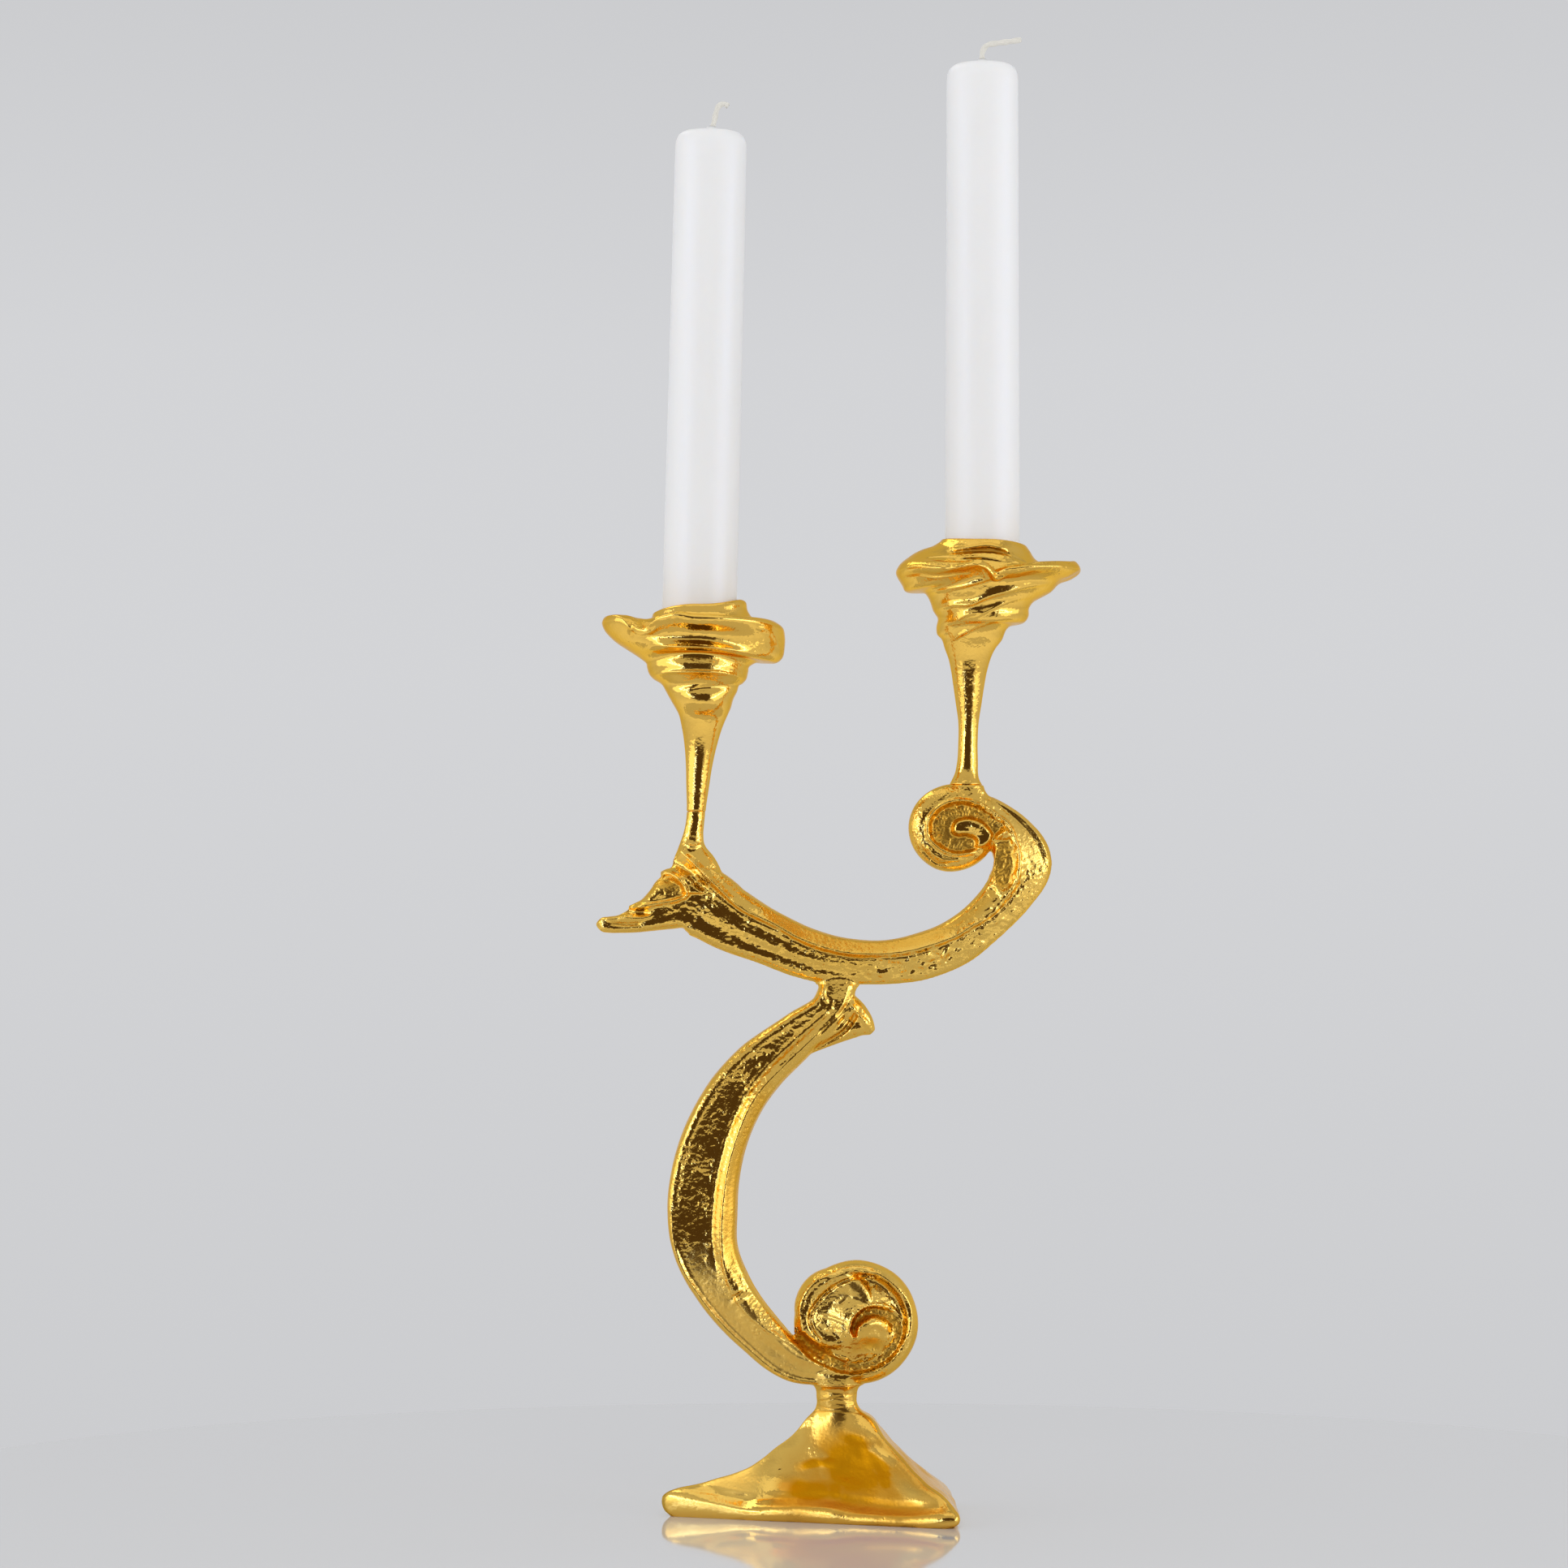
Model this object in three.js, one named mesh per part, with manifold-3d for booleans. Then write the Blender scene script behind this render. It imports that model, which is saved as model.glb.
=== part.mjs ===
// Two-arm candle holder: a cast and gilt foot, two scrolls that stand on one another,
// two candle cups on slender stems, and the candles that stand in them.
// Millimetres, +Z up. The front faces -Y. The origin lies on the table, under the neck of the foot.
import * as THREE from "three";
import { mergeVertices } from "three/addons/utils/BufferGeometryUtils.js";
import Module from "manifold-3d";

const wasm = await Module();
wasm.setup();

// Candles and wicks
const candleDiameter = 22;
const candleTipDiameter = 21;
const candleLength = 159;
const candleEdgeRound = 2;
const wickDiameter = 1.8;
const wickClearance = 0.3;
const leftWickRise = 9.2;
const rightWickRise = 7.2;

// Sockets, cups and stems
const socketClearance = 0.4;
const socketDepth = 20;
const socketFloor = 3.2;
const collarWall = 2;
const bowlWall = 3.4;
const brimRadius = 26.2;
const brimLip = 2;
const brimWaveHeight = 1.2;
const stemWaistRadius = 2.85;
const stemBellRadius = 10.8;
const rightStemFlare = 0.7;
const leftStemLength = 36.8;
const leftBrimDrop = 6;
const leftBrimDroop = 5;
const leftCupLean = THREE.MathUtils.degToRad(1.43);
const rightStemLength = 48.6;
const rightBrimDrop = 9;
const rightBrimDroop = 2.4;
const rightBowlOffset = 4.3;

// Foot
const footHeight = 38.6;
const footTipReach = 54;
const footHeelReach = 34;
const footHalfDepth = 36;
const footLipHeight = 6;
const neckWidth = 11.4;
const neckDepth = 9.6;
const neckHeight = 9;
const neckFlare = 1.4;

// Lower scroll, from the top of the neck
const lowerScrollHeight = 117.4;
const lowerScrollReach = 40;
const lowerArmWidth = 20.6;
const lowerArmDepth = 15;
const lowerVoluteRadius = 18.3;
const lowerVoluteOffset = 5.2;
const leafReach = 10.4;
const leafLength = 22;
const leafWidth = 8.6;
const leafDrop = 11.6;
const linkWidth = 11;
const linkHeight = 5;

// Upper scroll, from the top of the lower one
const upperTailReach = 69.4;
const upperTailRise = 25.2;
const upperHookReach = 54;
const upperHookRise = 53.6;
const upperArmWidth = 13.6;
const upperArmDepth = 13;
const upperVoluteRadius = 12.9;
const upperVoluteX = 33;
const upperVoluteZ = 46.2;
const leftStubX = -42.3;
const leftStubTop = 50.6;
const leftStubLength = 24;
const tailFinWidth = 6;
const rightBossX = 37.9;
const rightBossTop = 58.5;
const rightBossRadius = 5;

// Relief of the scrolls
const outerBevel = 2.6;
const innerBand = 3.4;
const channelDepth = 1.6;
const voluteBevel = 3.2;
const grooveRadius = 1.7;

// Studs, nut and washer that hold the castings together
const footStudDiameter = 5;
const footStudBite = 12;
const scrollStudDiameter = 4;
const scrollStudBite = 8;
const cupStudDiameter = 3;
const cupStudBite = 8;
const studClearance = 0.25;
const studEndGap = 0.4;
const nutAcrossFlats = 8;
const nutHeight = 4;
const nutPocketDepth = 14;
const nutPocketClearance = 1.6;
const washerDiameter = 10;
const washerThickness = 1;
const studTail = 1.5;

// Joints: the gap where a stem stands on its stud, and how far a land reaches past the piece that it meets
const jointGap = 0.3;
const landMargin = 0.6;

// Finishes
const gilt = new THREE.MeshStandardMaterial({ color: 0xe0a838, roughness: 0.24, metalness: 1 });
const steel = new THREE.MeshStandardMaterial({ color: 0xa8a9ab, roughness: 0.35, metalness: 1 });
const wax = new THREE.MeshStandardMaterial({ color: 0xf4f3f0, roughness: 0.4, metalness: 0 });
const cotton = new THREE.MeshStandardMaterial({ color: 0xece9e0, roughness: 0.9, metalness: 0 });

// Solids: three.js geometry to manifold-3d and back

function toSolid(geometry) {
  const bare = new THREE.BufferGeometry();
  const source = geometry.index ? geometry.toNonIndexed() : geometry;
  bare.setAttribute("position", source.getAttribute("position").clone());
  const merged = mergeVertices(bare, 1e-4);
  return new wasm.Manifold(
    new wasm.Mesh({
      numProp: 3,
      vertProperties: new Float32Array(merged.getAttribute("position").array),
      triVerts: new Uint32Array(merged.index.array),
    }),
  );
}

function toGeometry(solid) {
  const mesh = solid.getMesh();
  const geometry = new THREE.BufferGeometry();
  const position = new Float32Array(mesh.numVert * 3);
  for (let i = 0; i < mesh.numVert; i++) {
    for (let k = 0; k < 3; k++) {
      position[i * 3 + k] = mesh.vertProperties[i * mesh.numProp + k];
    }
  }
  geometry.setAttribute("position", new THREE.BufferAttribute(position, 3));
  geometry.setIndex(new THREE.BufferAttribute(new Uint32Array(mesh.triVerts), 1));
  geometry.computeVertexNormals();
  return geometry;
}

function namedMesh(name, geometry, material) {
  const mesh = new THREE.Mesh(geometry, material);
  mesh.name = name;
  return mesh;
}

// A closed skin over rings of points. The rings have as many points as one another.
// Seen from the last ring towards the first, each ring runs anticlockwise.
function loft(rings) {
  const count = rings[0].length;
  const position = rings.flat().flatMap((p) => [p.x, p.y, p.z]);
  const index = [];
  for (let k = 0; k + 1 < rings.length; k++) {
    for (let i = 0; i < count; i++) {
      const next = (i + 1) % count;
      const low = k * count;
      const high = low + count;
      index.push(low + i, low + next, high + next, low + i, high + next, high + i);
    }
  }
  for (const [ring, end] of [[0, "first"], [rings.length - 1, "last"]]) {
    const middle = new THREE.Vector3();
    rings[ring].forEach((p) => middle.addScaledVector(p, 1 / count));
    const centre = position.length / 3;
    position.push(middle.x, middle.y, middle.z);
    for (let i = 0; i < count; i++) {
      const a = ring * count + i;
      const b = ring * count + ((i + 1) % count);
      index.push(...(end === "first" ? [centre, b, a] : [centre, a, b]));
    }
  }
  const geometry = new THREE.BufferGeometry();
  geometry.setAttribute("position", new THREE.Float32BufferAttribute(position, 3));
  geometry.setIndex(index);
  return geometry;
}

// A bar swept through stations in the XZ plane. A station is { x, z, width, depth }.
// section(width, depth) gives [across, towards the back] points round the bar.
function sweep(stations, section, steps) {
  const path = new THREE.CatmullRomCurve3(
    stations.map((s) => new THREE.Vector3(s.x, 0, s.z)),
    false,
    "centripetal",
  );
  const size = new THREE.SplineCurve(stations.map((s) => new THREE.Vector2(s.width, s.depth)));
  const rings = [];
  for (let k = 0; k <= steps; k++) {
    const t = k / steps;
    const point = path.getPoint(t);
    const along = path.getTangent(t);
    const across = new THREE.Vector3(-along.z, 0, along.x);
    const { x: width, y: depth } = size.getPoint(t);
    rings.push(
      section(width, depth).map(([n, b]) =>
        new THREE.Vector3(point.x + across.x * n, b, point.z + across.z * n),
      ),
    );
  }
  return toSolid(loft(rings));
}

// Section of a scroll's arm: a bevel on the outer edge, a channel, and a band on the inner edge
function armSection(width, depth) {
  const half = width / 2;
  const face = depth / 2;
  const bevel = Math.min(outerBevel, width * 0.3);
  const band = Math.min(innerBand, width * 0.3);
  const floor = face - Math.min(channelDepth, depth * 0.2);
  const front = [
    [half, -face * 0.35],
    [half - bevel, -face],
    [(band - bevel) / 2, -floor],
    [band - half, -face],
    [-half, -face * 0.45],
  ];
  const back = front.map(([n, b]) => [n, -b]).reverse();
  return [...front, ...back];
}

// Section of a fin or a leaf: a plain oval
function ovalSection(width, depth) {
  const sides = 8;
  return Array.from({ length: sides }, (_, i) => {
    const turn = (-2 * Math.PI * i) / sides;
    return [(width / 2) * Math.cos(turn), (depth / 2) * Math.sin(turn)];
  });
}

// An upright round post from z = low to z = high
function post(radius, low, high, sides = 20) {
  const geometry = new THREE.CylinderGeometry(radius, radius, high - low, sides);
  geometry.rotateX(Math.PI / 2);
  geometry.translate(0, 0, (low + high) / 2);
  return geometry;
}

function postSolid(radius, low, high, x = 0, sides = 20) {
  return toSolid(post(radius, low, high, sides).translate(x, 0, 0));
}

// A volute: a disc with a bevelled rim, standing on edge in the XZ plane
function voluteDisc(radius, depth, x, z) {
  const face = depth / 2;
  const dome = face * 1.04;
  const rim = face * 0.42;
  const profile = [
    new THREE.Vector2(0, -dome),
    new THREE.Vector2(radius - voluteBevel, -face),
    new THREE.Vector2(radius, -rim),
    new THREE.Vector2(radius, rim),
    new THREE.Vector2(radius - voluteBevel, face),
    new THREE.Vector2(0, dome),
  ];
  return toSolid(new THREE.LatheGeometry(profile, 32).translate(x, 0, z));
}

// The spiral groove on both faces of a volute. A turn of the spiral is [angle in degrees, share of the radius].
function voluteGrooves(spiral, radius, depth, x, z) {
  const grooves = [-depth / 2, depth / 2].map((y) => {
    const route = new THREE.CatmullRomCurve3(
      spiral.map(([degrees, share]) => {
        const turn = THREE.MathUtils.degToRad(degrees);
        return new THREE.Vector3(
          x + radius * share * Math.cos(turn),
          y,
          z + radius * share * Math.sin(turn),
        );
      }),
    );
    const section = new THREE.Shape();
    section.absarc(0, 0, grooveRadius, 0, 2 * Math.PI);
    const options = { steps: 20, extrudePath: route, curveSegments: 3, bevelEnabled: false };
    return toSolid(new THREE.ExtrudeGeometry(section, options));
  });
  return grooves[0].add(grooves[1]);
}

// Foot: a three-cornered pyramid with hollow flanks, drawn up into a neck

function footOutline(turn, share, sharpness) {
  const slope = Math.atan2(footTipReach + footHeelReach, footHalfDepth);
  const flank = footTipReach * Math.cos(slope);
  const sides = [
    [0, footHeelReach],
    [Math.PI - slope, flank],
    [Math.PI + slope, flank],
  ];
  let sum = 0;
  for (const [facing, distance] of sides) {
    const nearness = Math.max(0, Math.cos(turn - facing));
    sum += (nearness / (distance * share)) ** sharpness;
  }
  return sum ** (-1 / sharpness);
}

function footSolid() {
  const points = 36;
  const shoulder = footHeight - neckHeight;
  // [height, share of the base outline, sharpness of the corners, share of the neck's oval]
  const levels = [
    [0, 0.975, 18, 0],
    [footLipHeight * 0.35, 1, 18, 0],
    [footLipHeight, 0.975, 16, 0],
    [footLipHeight + (shoulder - footLipHeight) * 0.09, 0.9, 14, 0],
    [footLipHeight + (shoulder - footLipHeight) * 0.27, 0.66, 11, 0],
    [footLipHeight + (shoulder - footLipHeight) * 0.47, 0.5, 9, 0],
    [footLipHeight + (shoulder - footLipHeight) * 0.67, 0.38, 7, 0.1],
    [footLipHeight + (shoulder - footLipHeight) * 0.85, 0.29, 5, 0.35],
    [shoulder, 0.2, 4, 0.7],
    [shoulder + neckHeight * 0.35, 0.15, 4, 1],
    [shoulder + neckHeight * 0.7, 0.15, 4, 1],
  ];
  const ring = (height, share, sharpness, oval, flare) =>
    Array.from({ length: points }, (_, i) => {
      const turn = (2 * Math.PI * i) / points;
      const corner = footOutline(turn, share, sharpness);
      const x = Math.cos(turn) * THREE.MathUtils.lerp(corner, neckWidth / 2 + flare, oval);
      const y = Math.sin(turn) * THREE.MathUtils.lerp(corner, neckDepth / 2 + flare, oval);
      return new THREE.Vector3(x, y, height);
    });
  const rings = levels.map(([height, share, sharpness, oval]) =>
    ring(height, share, sharpness, oval, 0),
  );
  rings.push(ring(footHeight, 0.15, 4, 1, neckFlare));
  const pocketRadius = washerDiameter / 2 + nutPocketClearance;
  return toSolid(loft(rings))
    .subtract(postSolid(pocketRadius, -1, nutPocketDepth))
    .subtract(postSolid(footStudDiameter / 2 + studClearance, nutPocketDepth - 1, footHeight + 1));
}

// Lower scroll: a tall C that curls into a volute at its foot and carries a leaf at its top

function lowerScrollSolid() {
  const h = lowerScrollHeight;
  const reach = lowerScrollReach;
  const base = lowerVoluteRadius * 0.22;
  // Shares of the height and of the reach, with the bar's width as a share of its widest
  const arm = [
    [0.05, base / h, 0.42, 0.8],
    [-0.31, 0.05, 0.53, 0.88],
    [-0.585, 0.146, 0.69, 0.95],
    [-0.83, 0.25, 0.79, 1],
    [-0.95, 0.33, 0.91, 1],
    [-0.985, 0.442, 1, 1],
    [-0.935, 0.573, 0.93, 1],
    [-0.8, 0.694, 0.86, 1],
    [-0.575, 0.798, 0.77, 0.96],
    [-0.3, 0.88, 0.66, 0.9],
    [-0.078, 0.942, 0.56, 0.84],
    [0, 1, linkWidth / lowerArmWidth, 0.8],
  ].map(([x, z, width, depth]) => ({
    x: x * reach,
    z: z * h,
    width: width * lowerArmWidth,
    depth: depth * lowerArmDepth,
  }));
  // Shares of the leaf's length, drop and width, with its depth as a share of the arm's
  const leaf = [
    [1, 1.52, 0.88, 0.7],
    [0.5, 1.14, 1, 0.66],
    [0.18, 1, 0.93, 0.58],
    [0, 1.09, 0.53, 0.4],
  ].map(([length, drop, width, depth]) => ({
    x: leafReach - length * leafLength,
    z: h - drop * leafDrop,
    width: width * leafWidth,
    depth: depth * lowerArmDepth,
  }));
  const volute = [lowerVoluteRadius, lowerArmDepth * 0.92, lowerVoluteOffset, lowerVoluteRadius];
  const spiral = [
    [178, 0.98], [206, 0.92], [240, 0.8], [272, 0.74], [310, 0.73], [343, 0.71],
    [374, 0.62], [405, 0.48], [435, 0.3], [480, 0.17], [560, 0.14],
  ];
  const joint = scrollStudDiameter / 2 + studClearance;
  const foot = footStudDiameter / 2 + studClearance;
  const land = neckWidth / 2 + neckFlare + landMargin;
  return sweep(arm, armSection, 34)
    .add(voluteDisc(...volute))
    .subtract(voluteGrooves(spiral, ...volute))
    .add(sweep(leaf, ovalSection, 8))
    .add(postSolid(land, 0, lowerVoluteRadius * 0.2, 0, 24))
    .add(postSolid(linkWidth / 2 + neckFlare * 0.6, h - linkHeight, h, 0, 24))
    .subtract(toSolid(new THREE.BoxGeometry(6 * reach, 6 * reach, h).translate(0, 0, -h / 2)))
    .subtract(toSolid(new THREE.BoxGeometry(6 * reach, 6 * reach, h).translate(0, 0, h * 1.5)))
    .subtract(postSolid(foot, -1, footStudBite + studEndGap))
    .subtract(postSolid(joint, h - scrollStudBite - studEndGap, h + 1));
}

// Upper scroll: a shallow bowl of a C, with a torn fish tail on the left and a volute on the right

function upperScrollSolid() {
  const bar = (x, z, width, depth) => ({
    x,
    z,
    width: width * upperArmWidth,
    depth: depth * upperArmDepth,
  });
  // Shares of the tail's or the hook's reach and rise, with the width and depth as shares of the arm's
  const tailSide = [
    [1, 0.7, 0.18, 0.28],
    [0.925, 0.695, 0.36, 0.42],
    [0.87, 0.73, 0.52, 0.52],
    [0.8, 0.81, 0.78, 0.62],
    [0.745, 0.89, 1.02, 0.7],
    [0.69, 0.976, 1.3, 0.78],
    [0.61, 1, 1.5, 0.88],
    [0.46, 0.786, 1.36, 0.98],
    [0.288, 0.556, 1.16, 1],
    [0.137, 0.365, 1.08, 1],
  ].map(([x, z, width, depth]) => bar(-x * upperTailReach, z * upperTailRise, width, depth));
  const hookSide = [
    [0.035, 0.123, 1, 1],
    [0.243, 0.119, 0.96, 1],
    [0.428, 0.146, 1.02, 1],
    [0.6, 0.207, 1.03, 1],
    [0.789, 0.345, 0.98, 1],
    [0.93, 0.51, 1.08, 1],
    [1, 0.675, 1.26, 1],
    [0.945, 0.806, 1.1, 0.98],
    [0.83, 0.93, 0.86, 0.94],
    [0.7, 1, 0.62, 0.9],
  ].map(([x, z, width, depth]) => bar(x * upperHookReach, z * upperHookRise, width, depth));
  // Shares of the stub's length below its top, and of the stem's waist
  const stub = [
    [1, 2.3],
    [0.67, 1.8],
    [0.42, 1.2],
    [0.21, 1],
    [0, 1],
  ].map(([below, radius]) => ({
    x: leftStubX - below * leftStubLength * Math.sin(leftCupLean),
    z: leftStubTop - below * leftStubLength,
    width: radius * stemWaistRadius * 2,
    depth: radius * stemWaistRadius * 2,
  }));
  // Shares of the tail's reach and rise and of a fin's width, with its depth as a share of the arm's
  const fins = [
    [[0.66, 1, 1, 0.9], [0.76, 0.96, 0.73, 0.8], [0.868, 0.85, 0.4, 0.5]],
    [[0.62, 1.127, 1, 0.95], [0.69, 1.238, 0.77, 0.86], [0.748, 1.278, 0.47, 0.55]],
  ].map((fin) =>
    fin.map(([x, z, width, depth]) => ({
      x: -x * upperTailReach,
      z: z * upperTailRise,
      width: width * tailFinWidth,
      depth: depth * upperArmDepth,
    })),
  );
  const volute = [upperVoluteRadius, upperArmDepth * 0.94, upperVoluteX, upperVoluteZ];
  const spiral = [
    [-30, 1.06], [5, 0.86], [40, 0.66], [75, 0.56], [110, 0.5], [150, 0.44], [200, 0.42], [260, 0.46], [310, 0.5],
  ];
  const land = linkWidth / 2 + neckFlare * 0.6 + landMargin;
  const below = new THREE.BoxGeometry(6 * upperTailReach, 6 * upperTailReach, upperTailReach);
  const lower = scrollStudDiameter / 2 + studClearance;
  const upper = cupStudDiameter / 2 + studClearance;
  const leftHole = post(upper, -cupStudBite - studEndGap, 1)
    .rotateY(leftCupLean)
    .translate(leftStubX, 0, leftStubTop);
  return sweep([...tailSide, ...hookSide], armSection, 46)
    .add(voluteDisc(...volute))
    .subtract(voluteGrooves(spiral, ...volute))
    .add(sweep(stub, ovalSection, 10))
    .add(sweep(fins[0], ovalSection, 6))
    .add(sweep(fins[1], ovalSection, 6))
    .add(postSolid(land, 0, upperArmWidth * 0.3, 0, 24))
    .add(postSolid(rightBossRadius, rightBossTop - upperVoluteRadius * 0.6, rightBossTop, rightBossX))
    .subtract(toSolid(below.translate(0, 0, -upperTailReach / 2)))
    .subtract(postSolid(rightBossRadius, rightBossTop, rightBossTop + rightBossRadius, rightBossX))
    .subtract(postSolid(lower, -1, scrollStudBite + studEndGap))
    .subtract(toSolid(leftHole))
    .subtract(postSolid(upper, rightBossTop - cupStudBite - studEndGap, rightBossTop + 1, rightBossX));
}

// Candle cup: a stem that opens into a wrapped bowl with a wavy brim, and a collar round the socket

const socketRadius = candleDiameter / 2 + socketClearance;

function cupFloor(stemLength) {
  return stemLength + socketFloor;
}

// shape holds how far the brim swells, tilts, droops and folds, and towards which turn
function cupSolid(stemLength, stemFlare, brimDrop, bowlOffset, shape) {
  const points = 32;
  const floor = cupFloor(stemLength);
  const top = floor + socketDepth;
  const brim = top - brimDrop;
  const bowl = socketRadius + bowlWall;
  const tuck = socketRadius + collarWall;
  const stem = [0, 0.12, 0.3, 0.5, 0.66, 0.8, 0.92, 1].map((u) => {
    const flare = stemFlare * Math.max(0, 1 - u / 0.3) ** 2;
    return [stemLength * u, THREE.MathUtils.lerp(stemWaistRadius, stemBellRadius, u ** 2.6) + flare, 0, 0];
  });
  // [height, radius, share of the brim's wave, share of its droop]
  const profile = [
    ...stem,
    [floor - socketFloor * 0.6, tuck, 0.1, 0],
    [floor + (brim - floor) * 0.12, bowl, 0.15, 0],
    [floor + (brim - floor) * 0.34, socketRadius + collarWall * 1.5, 0.2, 0.1],
    [floor + (brim - floor) * 0.48, THREE.MathUtils.lerp(bowl, brimRadius, 0.25), 0.35, 0.3],
    [floor + (brim - floor) * 0.74, THREE.MathUtils.lerp(bowl, brimRadius, 0.6), 0.7, 0.8],
    [brim - brimLip, brimRadius - brimLip * 0.4, 1, 1],
    [brim - brimLip * 0.4, brimRadius, 1, 0.4],
    [brim, brimRadius - brimLip * 0.6, 1, 0],
    [brim - brimLip * 0.2, THREE.MathUtils.lerp(bowl, brimRadius, 0.4), 0.6, 0],
    [THREE.MathUtils.lerp(brim, top, 0.35), bowl, 0.15, 0],
    [top, tuck, 0, 0],
    [top, socketRadius, 0, 0],
    [floor, socketRadius, 0, 0],
  ];
  const rings = profile.map(([height, radius, share, drooping]) =>
    Array.from({ length: points }, (_, i) => {
      const turn = (2 * Math.PI * i) / points;
      const swell = 1 + share * shape.swell * Math.cos(turn - shape.swellTurn);
      const fold = brimWaveHeight * Math.sin(shape.folds * turn + shape.foldTurn);
      const tilt = shape.tilt * Math.cos(turn - shape.tiltTurn);
      const droop = shape.droop * Math.max(0, Math.cos(turn - shape.droopTurn)) ** 2;
      const shift = bowlOffset * THREE.MathUtils.smoothstep(height, stemLength * 0.7, floor);
      return new THREE.Vector3(
        shift + radius * swell * Math.cos(turn),
        radius * swell * Math.sin(turn),
        height + share * (fold + tilt) - drooping * droop,
      );
    }),
  );
  const hole = postSolid(cupStudDiameter / 2 + studClearance, -1, cupStudBite + studEndGap);
  return toSolid(loft(rings)).subtract(hole);
}

// Candle: wax with a bore for its wick, and the wick bent over at its tip

function candleGeometry() {
  const bore = wickDiameter / 2 + wickClearance;
  const tip = candleTipDiameter / 2;
  const profile = [
    new THREE.Vector2(bore, 0),
    new THREE.Vector2(candleDiameter / 2, 0),
    new THREE.Vector2(tip, candleLength - candleEdgeRound),
    new THREE.Vector2(tip - candleEdgeRound * 0.3, candleLength - candleEdgeRound * 0.3),
    new THREE.Vector2(tip - candleEdgeRound, candleLength),
    new THREE.Vector2(bore, candleLength),
    new THREE.Vector2(bore, 0),
  ];
  return toGeometry(toSolid(new THREE.LatheGeometry(profile, 32).rotateX(Math.PI / 2)));
}

// A wick's bend is a list of [sideways, above the candle's top], as shares of its rise
function wickSolid(rise, bendShares) {
  const bend = new THREE.CatmullRomCurve3([
    new THREE.Vector3(0, 0, candleLength),
    ...bendShares.map(([x, above]) => new THREE.Vector3(x * rise, 0, candleLength + above * rise)),
  ]);
  const steps = 12;
  const stations = [{ point: new THREE.Vector3(0, 0, wickClearance), along: new THREE.Vector3(0, 0, 1) }];
  for (let k = 0; k <= steps; k++) {
    stations.push({ point: bend.getPoint(k / steps), along: bend.getTangent(k / steps) });
  }
  const rings = stations.map(({ point, along }) => {
    const side = new THREE.Vector3(along.z, 0, -along.x);
    return Array.from({ length: 8 }, (_, i) => {
      const turn = (i * Math.PI) / 4;
      const ringPoint = point.clone().addScaledVector(side, (wickDiameter / 2) * Math.cos(turn));
      ringPoint.y += (wickDiameter / 2) * Math.sin(turn);
      return ringPoint;
    });
  });
  return toSolid(loft(rings));
}

// A candle and its wick, standing on the origin
function candleGroup(side, wickRise, wickBend) {
  const group = new THREE.Group();
  group.add(namedMesh(`${side}_candle_wax`, candleGeometry(), wax));
  group.add(namedMesh(`${side}_candle_wick`, toGeometry(wickSolid(wickRise, wickBend)), cotton));
  return group;
}

function hexNut() {
  const corner = nutAcrossFlats / Math.sqrt(3);
  const outline = new THREE.Shape(
    Array.from({ length: 6 }, (_, i) => {
      const turn = (i * Math.PI) / 3;
      return new THREE.Vector2(corner * Math.cos(turn), corner * Math.sin(turn));
    }),
  );
  const hole = new THREE.Path();
  hole.absarc(0, 0, footStudDiameter / 2 + studClearance, 0, 2 * Math.PI, true);
  outline.holes.push(hole);
  return new THREE.ExtrudeGeometry(outline, { depth: nutHeight, curveSegments: 8, bevelEnabled: false });
}

function flatWasher() {
  const outline = new THREE.Shape();
  outline.absarc(0, 0, washerDiameter / 2, 0, 2 * Math.PI);
  const hole = new THREE.Path();
  hole.absarc(0, 0, footStudDiameter / 2 + studClearance, 0, 2 * Math.PI, true);
  outline.holes.push(hole);
  return new THREE.ExtrudeGeometry(outline, { depth: washerThickness, curveSegments: 12, bevelEnabled: false });
}

// Assembly, from the table up: each group stands on the one below

const holder = new THREE.Group();
holder.add(namedMesh("foot", toGeometry(footSolid()), gilt));

const fixing = new THREE.Group();
const washerSeat = nutPocketDepth - washerThickness;
const washer = namedMesh("foot_washer", flatWasher(), steel);
washer.position.z = washerSeat;
const nut = namedMesh("foot_nut", hexNut(), steel);
nut.position.z = washerSeat - nutHeight;
const studLow = washerSeat - nutHeight - studTail;
const footStud = post(footStudDiameter / 2, studLow, footHeight + footStudBite);
fixing.add(washer, nut, namedMesh("foot_stud", footStud, steel));
holder.add(fixing);

const lowerScroll = new THREE.Group();
lowerScroll.position.z = footHeight;
lowerScroll.add(namedMesh("lower_scroll", toGeometry(lowerScrollSolid()), gilt));
holder.add(lowerScroll);

const upperScroll = new THREE.Group();
upperScroll.position.z = lowerScrollHeight;
upperScroll.add(namedMesh("upper_scroll", toGeometry(upperScrollSolid()), gilt));
const scrollStud = post(scrollStudDiameter / 2, -scrollStudBite, scrollStudBite);
upperScroll.add(namedMesh("scroll_stud", scrollStud, steel));
lowerScroll.add(upperScroll);

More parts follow.
